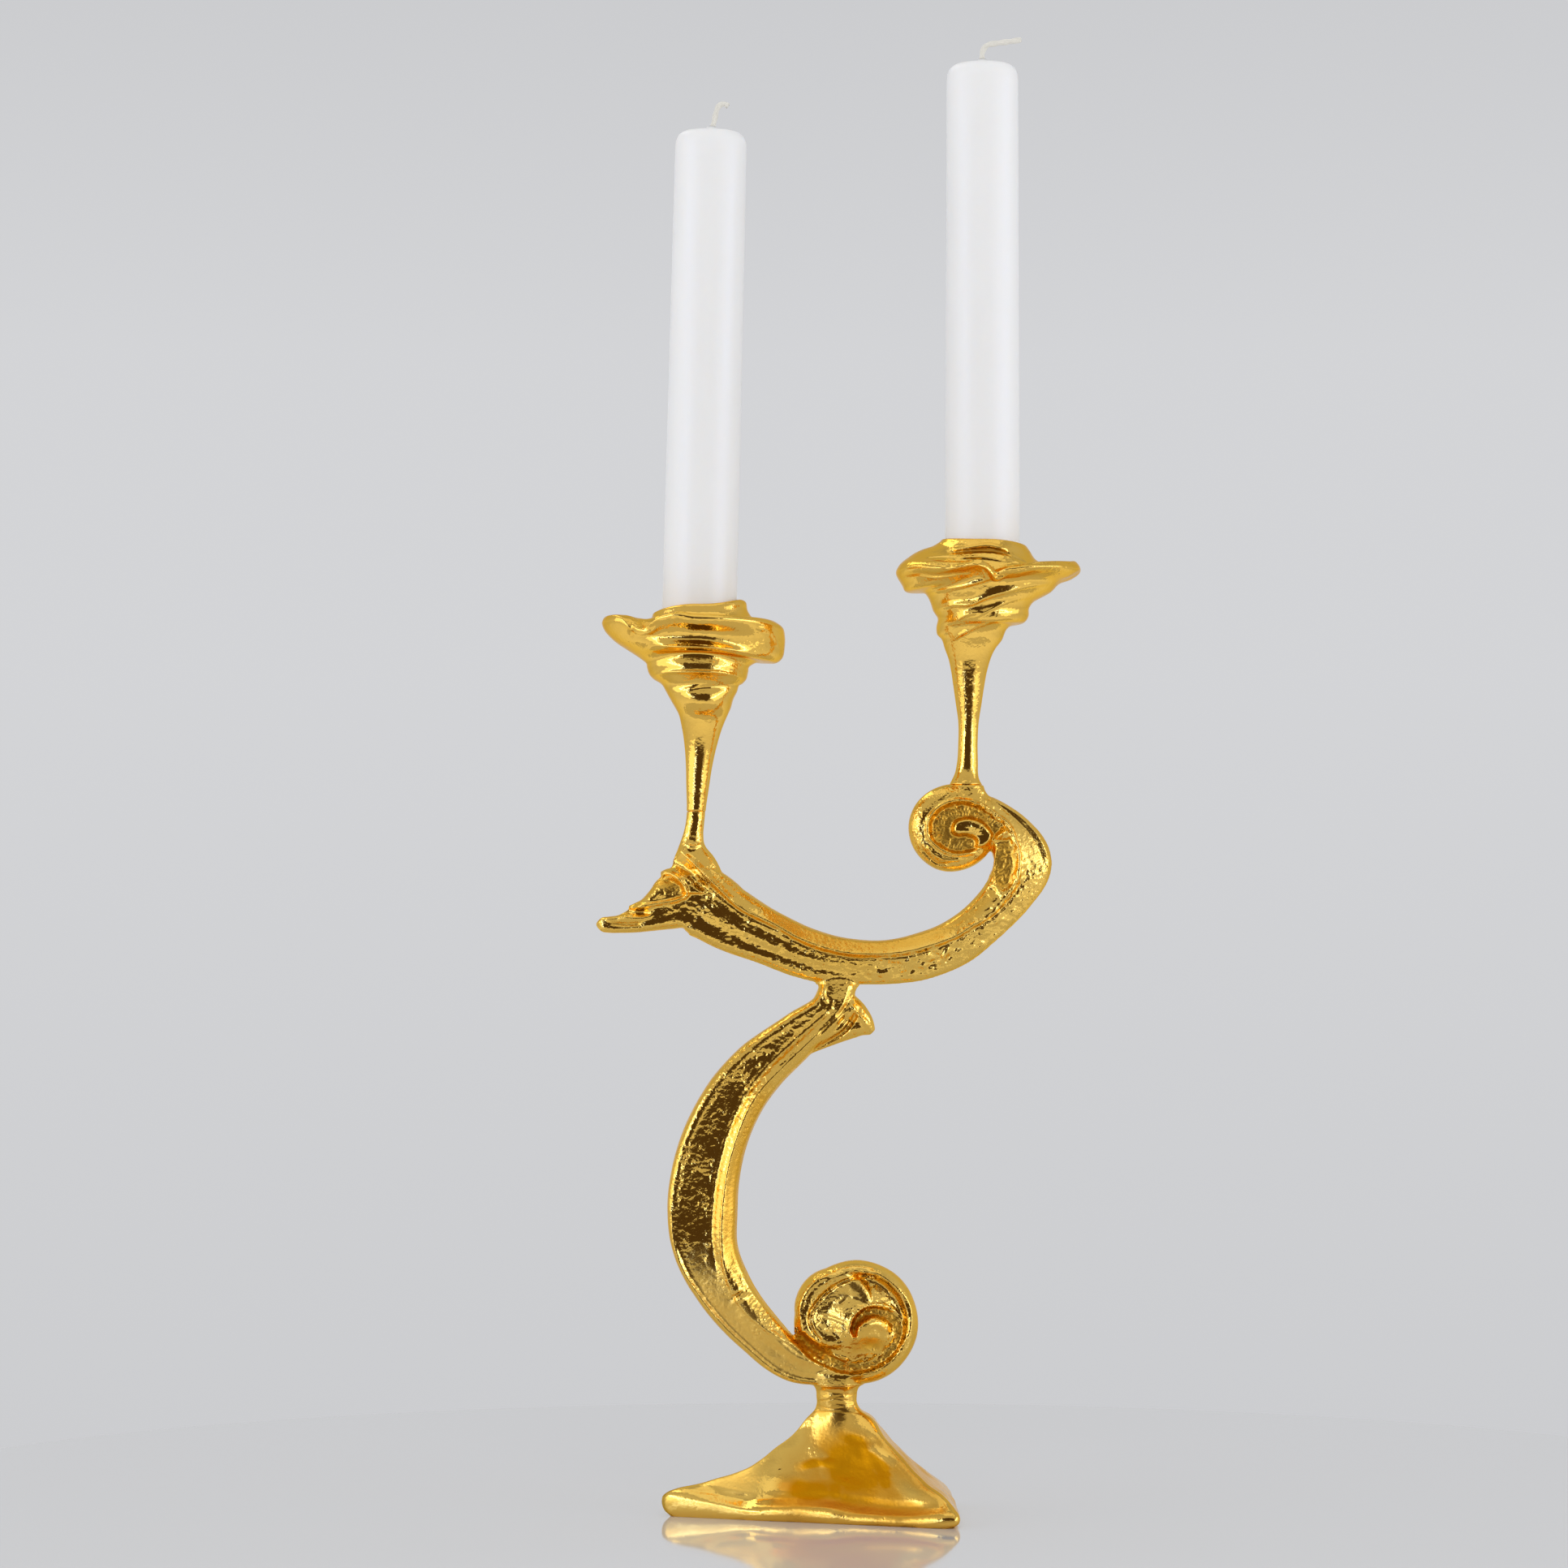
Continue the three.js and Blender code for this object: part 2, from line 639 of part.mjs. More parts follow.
const cups = [
  {
    side: "left",
    place: new THREE.Vector3(leftStubX, 0, leftStubTop),
    lean: leftCupLean,
    stemLength: leftStemLength,
    stemFlare: 0,
    brimDrop: leftBrimDrop,
    bowlOffset: 0,
    shape: {
      swell: 0.05,
      swellTurn: Math.PI,
      tilt: 2.2,
      tiltTurn: Math.PI,
      droop: leftBrimDroop,
      droopTurn: -0.3,
      folds: 3,
      foldTurn: 0.4,
    },
    wickRise: leftWickRise,
    wickBend: [[0.065, 0.37], [0.15, 0.8], [0.43, 1]],
  },
  {
    side: "right",
    place: new THREE.Vector3(rightBossX, 0, rightBossTop),
    lean: 0,
    stemLength: rightStemLength,
    stemFlare: rightStemFlare,
    brimDrop: rightBrimDrop,
    bowlOffset: rightBowlOffset,
    shape: {
      swell: 0.035,
      swellTurn: 0.3,
      tilt: 0.6,
      tiltTurn: 0,
      droop: rightBrimDroop,
      droopTurn: Math.PI + 0.3,
      folds: 3,
      foldTurn: 2.2,
    },
    wickRise: rightWickRise,
    wickBend: [[0.04, 0.39], [0.28, 0.75], [0.97, 0.89], [1.61, 1]],
  },
];

for (const cup of cups) {
  const group = new THREE.Group();
  group.position.copy(cup.place);
  group.rotation.y = cup.lean;
  const body = new THREE.Group();
  body.position.z = jointGap;
  const solid = cupSolid(cup.stemLength, cup.stemFlare, cup.brimDrop, cup.bowlOffset, cup.shape);
  body.add(namedMesh(`${cup.side}_candle_cup`, toGeometry(solid), gilt));
  const stud = post(cupStudDiameter / 2, -cupStudBite, cupStudBite, 16);
  group.add(body, namedMesh(`${cup.side}_cup_stud`, stud, steel));
  const candle = candleGroup(cup.side, cup.wickRise, cup.wickBend);
  candle.position.set(cup.bowlOffset, 0, cupFloor(cup.stemLength) + jointGap);
  body.add(candle);
  upperScroll.add(group);
}

export default holder;
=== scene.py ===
from math import atan, cos, pi, radians, sin
import bmesh
import bpy
import numpy as np
from mathutils import Matrix, Vector, noise


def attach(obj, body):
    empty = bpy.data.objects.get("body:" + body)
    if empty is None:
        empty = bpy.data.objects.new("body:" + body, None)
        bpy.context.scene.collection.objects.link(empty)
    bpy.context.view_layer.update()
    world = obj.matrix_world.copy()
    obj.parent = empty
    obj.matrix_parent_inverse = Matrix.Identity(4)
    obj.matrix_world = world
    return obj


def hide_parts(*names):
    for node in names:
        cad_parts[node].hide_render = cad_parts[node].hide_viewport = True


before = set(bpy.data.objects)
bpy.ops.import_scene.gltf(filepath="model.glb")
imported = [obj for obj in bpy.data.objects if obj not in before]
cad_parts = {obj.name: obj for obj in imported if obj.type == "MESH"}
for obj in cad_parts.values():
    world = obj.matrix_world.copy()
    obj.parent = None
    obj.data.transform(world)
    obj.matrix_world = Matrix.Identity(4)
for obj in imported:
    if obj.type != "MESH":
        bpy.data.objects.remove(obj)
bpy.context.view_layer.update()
scene = bpy.context.scene
mm = 0.001  # the shapes below are in millimetres, in the frame of the CAD parts
print("frame loaded:", len(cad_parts), "nodes")


def addObject(name, data):
    thing = bpy.data.objects.new(name, data)
    scene.collection.objects.link(thing)
    return thing


# Shader nodes

def addNode(tree, kind, sockets, **settings):
    # a socket, named or counted, gets a number or the output of another node
    node = tree.nodes.new("ShaderNode" + kind)
    for name, value in settings.items():
        setattr(node, name, value)
    for name, value in sockets.items():
        if isinstance(value, bpy.types.NodeSocket):
            tree.links.new(value, node.inputs[name])
        else:
            node.inputs[name].default_value = value
    return node


def addMath(tree, operation, *terms, **settings):
    return addNode(tree, "Math", dict(enumerate(terms)), operation=operation, **settings).outputs[0]


def addRange(tree, value, given, wanted, **settings):
    names = ("Value", "From Min", "From Max", "To Min", "To Max")
    sockets = dict(zip(names, (value, *given, *wanted)))
    return addNode(tree, "MapRange", sockets, **settings).outputs[0]


def addMix(tree, share, first, second):
    sockets = {"Factor": share, "A": (*first, 1), "B": (*second, 1)}
    return addNode(tree, "Mix", sockets, data_type="RGBA").outputs["Result"]


def startPaint(name, sockets):
    paint = bpy.data.materials.new(name)
    paint.use_nodes = True
    for socket, value in sockets.items():
        paint.node_tree.nodes["Principled BSDF"].inputs[socket].default_value = value
    return paint


# Studio: camera, floor, lamps and the dark card, a glowing sheet that the gold mirrors as a painted dark
# reflection

studio = {
    "cameraPlace": (-16, -1350, 149),
    "pictureMiddle": 214.8,    # height at the picture's middle: the camera is level and its lens is shifted
    "viewWidth": 460,          # width of the picture at the candle holder
    "floorRadius": 310,
    "floorCentre": (0, 78),
    "floorSides": 160,
    "floorShade": (0.72, 0.721, 0.723),
    "floorRoughness": 0.06,
    # height of the direction, brightness of the sky there
    "sky": [(-1, 1.05), (-0.14, 0.6), (0.07, 0.665), (0.14, 0.665), (0.26, 0.58), (0.7, 0.58), (1, 0.36)],
    "skyTint": (0.985, 0.993, 1.02),
    "lampAim": (0, 0, 200),
    "lampRise": 420,           # height of the side lamps and of the narrow ones
    "sideLampTurn": 70,        # degrees to either side of the camera
    "sideLampSize": (1000, 1800),
    "sideLampFar": 1500,
    "sideLampPower": 4.5,
    "topLampPlace": (0, -150, 1700),
    "topLampSize": (1400, 1400),
    "topLampPower": 3,
    "frontLampPlace": (0, -1450, 700),
    "frontLampSize": (900, 900),
    "frontLampPower": 9,       # lights the wax, and is not mirrored by the gold
    "glintLampTurns": (-52, 62),  # narrow lamps that only show as mirror images, in degrees from the camera
    "glintLampSize": (150, 1700),
    "glintLampFar": 1450,
    "glintLampPower": 1.9,
    "glintLampTint": (0.9, 1.2, 2.4),
    "highGlintPlace": (-620, 480, 1200),
    "highGlintSize": (250, 900),
    "highGlintPower": 1.1,
    "cardSize": (2500, 1500),
    "cardPlace": (-120, -1500, 240),
    "cardBase": (0.02, 0.018, 0.015),
    # the card's glow: a painted dark brown reflection in its middle, fading to the sky's brightness at its
    # edges
    "cardDarkGlow": (0.045, 0.021, 0.002),
    "cardPaleGlow": (0.59, 0.595, 0.61),
    "cardFade": 0.34,          # where it starts to fade, as a share of its width or height from its middle
}


def makeCamera():
    place = Vector(studio["cameraPlace"]) * mm
    width = studio["viewWidth"] * mm
    data = bpy.data.cameras.new("photoCamera")
    data.angle = 2 * atan(width / 2 / -place.y)
    data.shift_y = (studio["pictureMiddle"] * mm - place.z) / width
    data.dof.use_dof = False
    camera = addObject("photoCamera", data)
    camera.location = place
    camera.rotation_euler = (pi / 2, 0, 0)
    scene.camera = camera


def makeSky():
    world = bpy.data.worlds.new("paleSky")
    scene.world = world
    world.use_nodes = True
    tree = world.node_tree
    tree.nodes.clear()
    low = studio["sky"][0][0]
    high = studio["sky"][-1][0]
    split = addNode(tree, "SeparateXYZ", {0: addNode(tree, "TexCoord", {}).outputs["Generated"]})
    ramp = addNode(tree, "ValToRGB", {"Fac": addRange(tree, split.outputs["Z"], (low, high), (0, 1))})
    stops = ramp.color_ramp.elements
    while len(stops) < len(studio["sky"]):
        stops.new(0.5)
    for stop, (height, bright) in zip(stops, studio["sky"]):
        stop.position = (height - low) / (high - low)
        stop.color = (*(bright * tint for tint in studio["skyTint"]), 1)
    light = addNode(tree, "Background", {"Color": ramp.outputs["Color"]})
    addNode(tree, "OutputWorld", {"Surface": light.outputs[0]})


def setOut(name, bm, paint):
    mesh = bpy.data.meshes.new(name)
    bm.to_mesh(mesh)
    bm.free()
    mesh.materials.append(paint)
    return addObject(name, mesh)


def makeFloor():
    bm = bmesh.new()
    radius = studio["floorRadius"] * mm
    bmesh.ops.create_circle(bm, cap_ends=True, segments=studio["floorSides"], radius=radius)
    bmesh.ops.translate(bm, verts=bm.verts, vec=Vector((*studio["floorCentre"], 0)) * mm)
    sockets = {"Base Color": (*studio["floorShade"], 1), "Roughness": studio["floorRoughness"]}
    floor = setOut("floor", bm, startPaint("paleFloor", sockets))


def makeDarkCard():
    # a glowing sheet, no lamp, whose dark brown glow the gold shows as a painted reflection: dark in its
    # middle and fading into the sky towards its edges
    bm = bmesh.new()
    bmesh.ops.create_grid(bm, x_segments=1, y_segments=1, size=0.5)
    bmesh.ops.scale(bm, verts=bm.verts, vec=Vector((*studio["cardSize"], 1)) * mm)
    bmesh.ops.rotate(bm, verts=bm.verts, matrix=Matrix.Rotation(pi / 2, 3, "X"))
    bmesh.ops.translate(bm, verts=bm.verts, vec=Vector(studio["cardPlace"]) * mm)
    sockets = {"Base Color": (*studio["cardBase"], 1), "Roughness": 1, "Emission Strength": 1}
    paint = startPaint("darkGlowCard", sockets)
    tree = paint.node_tree
    split = addNode(tree, "SeparateXYZ", {0: addNode(tree, "TexCoord", {}).outputs["Generated"]})
    fades = []
    for axis in ("X", "Z"):
        away = addMath(tree, "ABSOLUTE", addMath(tree, "SUBTRACT", split.outputs[axis], 0.5))
        fade = addRange(tree, away, (studio["cardFade"], 0.5), (0, 1), interpolation_type="SMOOTHSTEP")
        fades.append(fade)
    glow = addMix(tree, addMath(tree, "MAXIMUM", *fades), studio["cardDarkGlow"], studio["cardPaleGlow"])
    tree.links.new(glow, tree.nodes["Principled BSDF"].inputs["Emission Color"])
    card = setOut("darkGlowCard", bm, paint)
    card.visible_camera = False


def makeLamp(name, place):
    data = bpy.data.lights.new(name, "AREA")
    data.shape = "RECTANGLE"
    data.size, data.size_y = (side * mm for side in studio[name + "Size"])
    data.energy = studio[name + "Power"]
    lamp = addObject(name, data)
    lamp.location = Vector(place) * mm
    lamp.rotation_euler = (Vector(studio["lampAim"]) - Vector(place)).to_track_quat("-Z", "Z").to_euler()
    lamp.visible_camera = False
    return lamp


def turnedPlace(degrees, far):
    # a place round the holder, turned from the side on which the camera stands
    return (far * sin(radians(degrees)), -far * cos(radians(degrees)), studio["lampRise"])


def makeLamps():
    for side in (-1, 1):
        makeLamp("sideLamp", turnedPlace(studio["sideLampTurn"] * side, studio["sideLampFar"]))
    makeLamp("topLamp", studio["topLampPlace"])
    frontLamp = makeLamp("frontLamp", studio["frontLampPlace"])
    frontLamp.visible_glossy = False
    for turn in studio["glintLampTurns"]:
        glintLamp = makeLamp("glintLamp", turnedPlace(turn, studio["glintLampFar"]))
        glintLamp.data.color = studio["glintLampTint"]
        glintLamp.visible_diffuse = False
    highGlint = makeLamp("highGlint", studio["highGlintPlace"])
    highGlint.visible_diffuse = False


scene.view_settings.view_transform = "Standard"
makeCamera()
makeSky()
makeFloor()
makeDarkCard()
makeLamps()
print("studio set")


# Finishes: two shades, two degrees of roughness, and a bump given as its strength and its depth in mm

skinShape = {
    "mottle": {"Detail": 3, "Roughness": 0.6},
    "grain": {"Detail": 1.5, "Roughness": 0.5},
    "pitEdge": (0.08, 0.3),     # from a pit's middle: where its floor ends, and where the pit ends
    "patchEdge": (0.52, 0.66),  # mottling at which a rough patch sets in, and at which it is full
    "leastGrain": 0.5,          # share of the grain that is left between the patches
}


def makeCastSkin():
    # soft mottling, fine grain and open pits, as sand casting leaves them
    group = bpy.data.node_groups.new("castSkin", "ShaderNodeTree")
    face = group.interface
    face.new_socket("Place", in_out="INPUT", socket_type="NodeSocketVector")
    for name in ("Mottle Scale", "Grain Scale", "Grain", "Pit Scale", "Pits"):
        face.new_socket(name, in_out="INPUT", socket_type="NodeSocketFloat")
    for name in ("Mottle", "Height"):
        face.new_socket(name, in_out="OUTPUT", socket_type="NodeSocketFloat")
    given = group.nodes.new("NodeGroupInput").outputs
    out = group.nodes.new("NodeGroupOutput").inputs

    def addTexture(kind, scale, sockets):
        return addNode(group, kind, {"Vector": given["Place"], "Scale": given[scale], **sockets}).outputs[0]

    mottle = addTexture("TexNoise", "Mottle Scale", skinShape["mottle"])
    grain = addTexture("TexNoise", "Grain Scale", skinShape["grain"])
    fromPit = addTexture("TexVoronoi", "Pit Scale", {"Randomness": 1})
    hollow = addRange(group, fromPit, skinShape["pitEdge"], (-1, 0))
    patchy = addRange(group, mottle, skinShape["patchEdge"], (0, 1))
    pitted = addMath(group, "MULTIPLY", addMath(group, "MULTIPLY", hollow, patchy), given["Pits"])
    # the grain, too, is strong in patches and faint between them
    least = skinShape["leastGrain"]
    grainShare = addMath(group, "MULTIPLY_ADD", patchy, 1 - least, least)
    sandy = addMath(group, "MULTIPLY", grainShare, given["Grain"])
    group.links.new(mottle, out["Mottle"])
    group.links.new(addMath(group, "MULTIPLY_ADD", grain, sandy, pitted), out["Height"])
    return group


castSkin = makeCastSkin()

giltFinish = {
    "gold": (0.965, 0.615, 0.128),
    # deep gold: the painted shade in the hollows, and the mottling's deeper tone
    "deepGold": (0.8, 0.4, 0.022),
    "footMottleAndShadeGold": (0.66, 0.28, 0.003),  # deep gold for the foot's painted shade in its hollows, and for its mottling
    "edgeGold": (1, 0.78, 0.4),          # tint of the mirror image at a grazing angle
    "skin": {"Mottle Scale": 95, "Grain Scale": 850, "Pit Scale": 620},
    "mottleShare": 0.35,                 # how much deep gold the mottling brings to an open face
    "fade": (0.15, 0.9),                 # where the polish starts to fade, and where it has gone
    "roughness": (0.1, 0.48),
    "bump": (0.5, 0.3),
}

waxFinish = {
    "shader": {"Subsurface Weight": 0.4, "Subsurface Radius": (1, 0.9, 0.8), "Subsurface Scale": 4 * mm},
    "skin": {"Mottle Scale": 60, "Grain Scale": 900, "Grain": 0.5, "Pit Scale": 300, "Pits": 0.4},
    "shades": [(0.92, 0.92, 0.917), (0.95, 0.95, 0.947)],
    "fade": (0, 1),
    "roughness": (0.28, 0.48),
    "bump": (0.12, 0.15),
}

cottonFinish = {
    "shader": {"Sheen Weight": 0.3},
    "fibre": {"Scale": 2600, "Detail": 3},
    "shades": [(0.72, 0.69, 0.6), (0.9, 0.885, 0.83)],
    "fade": (0, 1),
    "roughness": (0.6, 0.95),
    "bump": (0.4, 0.1),
}

steelFinish = {
    "shader": {"Metallic": 1},
    "stretch": (1, 1, 6),  # tool marks run round the stud
    "skin": {"Mottle Scale": 200, "Grain Scale": 1800, "Grain": 0.6, "Pit Scale": 500, "Pits": 0.2},
    "shades": [(0.4, 0.4, 0.41), (0.62, 0.62, 0.63)],
    "fade": (0, 1),
    "roughness": (0.25, 0.5),
    "bump": (0.25, 0.1),
}


def addPlace(tree):
    return addNode(tree, "TexCoord", {}).outputs["Object"]


def addSkin(tree, place, values):
    skin = addNode(tree, "Group", {"Place": place, **values}, node_tree=castSkin)
    return skin.outputs["Mottle"], skin.outputs["Height"]


def coat(paint, finish, shadeMask, roughMask, height):
    # each mask leads from the first of two shades, or of two degrees of roughness, to the second
    tree = paint.node_tree
    strength, depth = finish["bump"]
    bump = addNode(tree, "Bump", {"Strength": strength, "Distance": depth * mm, "Height": height})
    made = {
        "Base Color": addMix(tree, shadeMask, *finish["shades"]),
        "Roughness": addRange(tree, roughMask, finish["fade"], finish["roughness"]),
        "Normal": bump.outputs[0],
    }
    for socket, output in made.items():
        tree.links.new(output, tree.nodes["Principled BSDF"].inputs[socket])
    return paint


def makeGilt(name, deep, grain, pits):
    # gilding on a casting: polished where it stands proud, duller in the hollows, and painted deeper gold
    # there as painted shade
    paint = startPaint(name, {"Metallic": 1, "Specular Tint": (*giltFinish["edgeGold"], 1)})
    tree = paint.node_tree
    mottle, height = addSkin(tree, addPlace(tree), {**giltFinish["skin"], "Grain": grain, "Pits": pits})
    recess = addNode(tree, "Attribute", {}, attribute_name="recess").outputs["Fac"]
    share = addMath(tree, "MULTIPLY_ADD", mottle, giltFinish["mottleShare"], recess, use_clamp=True)
    duller = addMath(tree, "MAXIMUM", share, addMath(tree, "MULTIPLY", recess, -1))
    finish = {**giltFinish, "shades": [giltFinish["gold"], giltFinish[deep]]}
    return coat(paint, finish, share, duller, height)


def makeWax():
    paint = startPaint("whiteWax", waxFinish["shader"])
    tree = paint.node_tree
    mottle, height = addSkin(tree, addPlace(tree), waxFinish["skin"])
    return coat(paint, waxFinish, mottle, mottle, height)


def makeCotton():
    paint = startPaint("waxedCotton", cottonFinish["shader"])
    tree = paint.node_tree
    fibre = addNode(tree, "TexNoise", {"Vector": addPlace(tree), **cottonFinish["fibre"]}).outputs[0]
    return coat(paint, cottonFinish, fibre, fibre, fibre)


def makeSteel():
    paint = startPaint("turnedSteel", steelFinish["shader"])
    tree = paint.node_tree
    stretch = addNode(tree, "Mapping", {"Vector": addPlace(tree), "Scale": steelFinish["stretch"]})
    mottle, height = addSkin(tree, stretch.outputs[0], steelFinish["skin"])
    return coat(paint, steelFinish, mottle, mottle, height)


castGilt = makeGilt("castGilt", "deepGold", grain=2.4, pits=1.2)
cupGilt = makeGilt("cupGilt", "deepGold", grain=1.2, pits=0.7)
smoothGilt = makeGilt("smoothGilt", "footMottleAndShadeGold", grain=1, pits=0.5)
whiteWax = makeWax()
waxedCotton = makeCotton()
turnedSteel = makeSteel()
print("finishes made")


# Shaping

tool = {
    "weld": 1e-5,             # points closer than this become one
    "cutSlack": 1e-4,
    "pathSteps": 12,          # steps along a tool's path for each given point
    "faces": (0.1, 0.5),      # turn to the front at which strokes set in, and at which they are full
    "allRound": (-0.2, 0.2),  # the same, for strokes that run on round the sides
    "runOut": 1.5,            # length over which a stroke dies away at its ends, in half widths
    "leastEnd": 0.25,         # what is left of it at the very end
    "foldPower": 1.2,         # how straight the sides of a fold are
    "fullTone": 4,            # depth in mm at which a stroke has the deepest gold, its painted shade
    "plateFacing": 0.15,      # faces that turn further away from the front are not levelled
    "lumpSize": (0.6, 1.2),
    "lumpHeight": (0.4, 1),
    "lumpSigns": [-1, -1, 1],          # two craters for each lump
    "unevenShift": (13.7, 5.1, 9.3),   # a seed moves the noise on by this
    "gritShift": (7.7, 3.1, 1.3),
    "gritNoise": (0.8, 2, 3),          # roughness, step in size and number of octaves
}


def smoothRows(rows, count):
    # an even run of rows along a smooth curve through given ones, paced by their first two columns
    rows = np.array(rows, float)
    gaps = np.hypot(*np.diff(rows[:, :2], axis=0).T)
    at = np.concatenate([[0], np.cumsum(gaps)])
    slopes = np.gradient(rows, at, axis=0)
    here = np.linspace(0, at[-1], count)
    k = np.clip(np.searchsorted(at, here, side="right") - 1, 0, len(at) - 2)
    reach = (at[k + 1] - at[k])[:, None]
    u = (here - at[k])[:, None] / reach
    return (
        rows[k] * (1 + 2 * u) * (1 - u) ** 2
        + slopes[k] * reach * u * (1 - u) ** 2
        + rows[k + 1] * u * u * (3 - 2 * u)
        + slopes[k + 1] * reach * u * u * (u - 1)
    )


def fullTurn(sides, start=0):
    return np.linspace(start, start + 2 * pi, sides, endpoint=False)


def rollTube(bm, rings):
    # a flat grid rolled into a tube, with one row of the grid for each ring, and its ends closed
    rows, sides = rings.shape[:2]
    grid = bmesh.ops.create_grid(bm, x_segments=sides, y_segments=rows - 1, size=1)["verts"]
    for vert in grid:
        column = round((vert.co.x + 1) / 2 * sides) % sides
        row = round((vert.co.y + 1) / 2 * (rows - 1))
        vert.co = rings[row, column]
    bmesh.ops.remove_doubles(bm, verts=grid, dist=tool["weld"])
    ends = [edge for edge in bm.edges if edge.is_boundary]
    if ends:
        bmesh.ops.holes_fill(bm, edges=ends)


def armRings(rows, section):
    # sections set square to a path in the XZ plane: a row is x, z and the section's own numbers
    along = np.gradient(rows[:, :2], axis=0)
    along /= np.hypot(along[:, 0], along[:, 1])[:, None]
    rings = []
    for row, (alongX, alongZ) in zip(rows, along):
        across, deep = section(*row[2:]).T
        rings.append(np.stack([row[0] - alongZ * across, deep, row[1] + alongX * across], 1))
    return np.array(rings)


def ovalSection(width, depth, sides=40):
    turn = fullTurn(sides)
    return np.stack([width / 2 * np.cos(turn), depth / 2 * np.sin(turn)], 1)


def bothFaces(half, depth, steps=44):
    # half an outline, from one edge over the front to the other, closed by its mirror image at the back
    front = smoothRows(half, steps)
    front[:, 1] *= -depth / 2
    back = front[-2:0:-1] * (1, -1)
    return np.concatenate([front, back])


def discRings(profile, place, steps, sides=120):
    # a disc on edge, alike on both faces: the profile is [radius, depth] from its middle to its rim
    turn = fullTurn(sides)
    x, z = place
    back = [(radius, -deep) for radius, deep in profile[::-1]]
    rings = []
    for radius, deep in smoothRows(profile + back, steps):
        ring = [x + radius * np.cos(turn), np.full_like(turn, deep), z + radius * np.sin(turn)]
        rings.append(np.stack(ring, 1))
    return np.array(rings)


def postRings(rows, sides=64):
    # an upright round post: a row is x, z, radius along x, radius along y
    turn = fullTurn(sides)
    rings = []
    for x, z, wide, deep in rows:
        ring = [x + wide * np.cos(turn), deep * np.sin(turn), np.full_like(turn, z)]
        rings.append(np.stack(ring, 1))
    return np.array(rings)


def toMesh(bm, name):
    bmesh.ops.recalc_face_normals(bm, faces=bm.faces)
    mesh = bpy.data.meshes.new(name)
    bm.to_mesh(mesh)
    bm.free()
    return mesh


def standTube(name, rings, place, lean):
    # a tube made upright at the origin, then leant over and set in its place in the XZ plane
    bm = bmesh.new()
    rollTube(bm, rings)
    bmesh.ops.rotate(bm, verts=bm.verts, matrix=Matrix.Rotation(radians(lean), 3, "Y"))
    bmesh.ops.translate(bm, verts=bm.verts, vec=(place[0], 0, place[1]))
    return toMesh(bm, name)


def fuse(bm, name, voxel, passes=2):
    # overlapping lumps become one skin, as one pour of metal
    rough = addObject(name, toMesh(bm, name))
    remesh = rough.modifiers.new("fuse", "REMESH")
    remesh.mode = "VOXEL"
    remesh.voxel_size = voxel
    soften = rough.modifiers.new("soften", "SMOOTH")
    soften.factor = 0.5
    soften.iterations = passes
    ready = rough.evaluated_get(bpy.context.evaluated_depsgraph_get())
    mesh = bpy.data.meshes.new_from_object(ready)
    lump = rough.data
    bpy.data.objects.remove(rough)
    bpy.data.meshes.remove(lump)
    return mesh


def readSurface(mesh):
    # the points of a mesh and the normals there
    found = []
    for what in ("co", "normal"):
        values = np.empty(len(mesh.vertices) * 3, np.float32)
        mesh.vertices.foreach_get(what, values)
        found.append(values.reshape(-1, 3).astype(float))
    return found


def movePoints(mesh, points):
    mesh.vertices.foreach_set("co", points.astype(np.float32).ravel())
    mesh.update()


def nearPath(points, path, widest):
    # how far each point of the front view is from a smooth line, how far along it, and whether on its left
    line = smoothRows(path, tool["pathSteps"] * len(path))
    low = line.min(0) - widest
    high = line.max(0) + widest
    near = np.flatnonzero(((points > low) & (points < high)).all(1))
    gap = np.full(len(near), np.inf)
    share = np.zeros(len(near))
    left = np.zeros(len(near), bool)
    for k in range(len(line) - 1):
        step = line[k + 1] - line[k]
        offset = points[near] - line[k]
        t = np.clip(offset @ step / (step @ step), 0, 1)
        far = np.hypot(*(offset - t[:, None] * step).T)
        closer = far < gap
        gap[closer] = far[closer]
        share[closer] = (k + t[closer]) / (len(line) - 1)
        left[closer] = (step[0] * offset[:, 1] - step[1] * offset[:, 0])[closer] > 0
    return near, gap, share, left


def markRecess(mesh, recess):
    # how deep each point lies in a hollow, which the gilt paints in deeper gold as painted shade; below
    # nought it is pale and satin instead
    mark = mesh.attributes.get("recess")
    if mark is None:
        mark = mesh.attributes.new("recess", "FLOAT", "POINT")
    before = np.empty(len(recess), np.float32)
    mark.data.foreach_get("value", before)
    mark.data.foreach_set("value", np.clip(before + recess, -1, 1).astype(np.float32))


def carve(mesh, strokes, reach):
    # tool strokes on the front and the back: [half width, height, path in the front view, tone of the gold,
    # its painted shade, which otherwise follows the depth of the stroke]
    # a stroke with two half widths, to the left and right of its path, makes a fold with a steep side
    points, normals = readSurface(mesh)
    faceLow, faceHigh = reach
    facing = np.clip((np.abs(normals[:, 1]) - faceLow) / (faceHigh - faceLow), 0, 1)
    lift = np.zeros(len(points))
    recess = np.zeros(len(points))
    for width, height, path, *tone in strokes:
        toLeft, toRight = width if isinstance(width, tuple) else (width, width)
        widest = max(toLeft, toRight)
        near, gap, share, left = nearPath(points[:, ::2], path, widest)
        length = np.hypot(*np.diff(path, axis=0).T).sum()
        toEnd = np.minimum(share, 1 - share) * length
        ends = np.clip(toEnd / widest / tool["runOut"], tool["leastEnd"], 1)
        gap /= np.where(left, toLeft, toRight)
        power = 2 if toLeft == toRight else tool["foldPower"]
        shape = np.clip(1 - gap ** power, 0, 1) ** 2 * ends * facing[near]
        lift[near] += height * shape
        deep = tone[0] if tone else np.clip(-height / tool["fullTone"], 0, 1)
        recess[near] += np.sqrt(shape) * deep
    points[:, 1] += np.sign(normals[:, 1]) * lift
    movePoints(mesh, points)
    markRecess(mesh, recess)


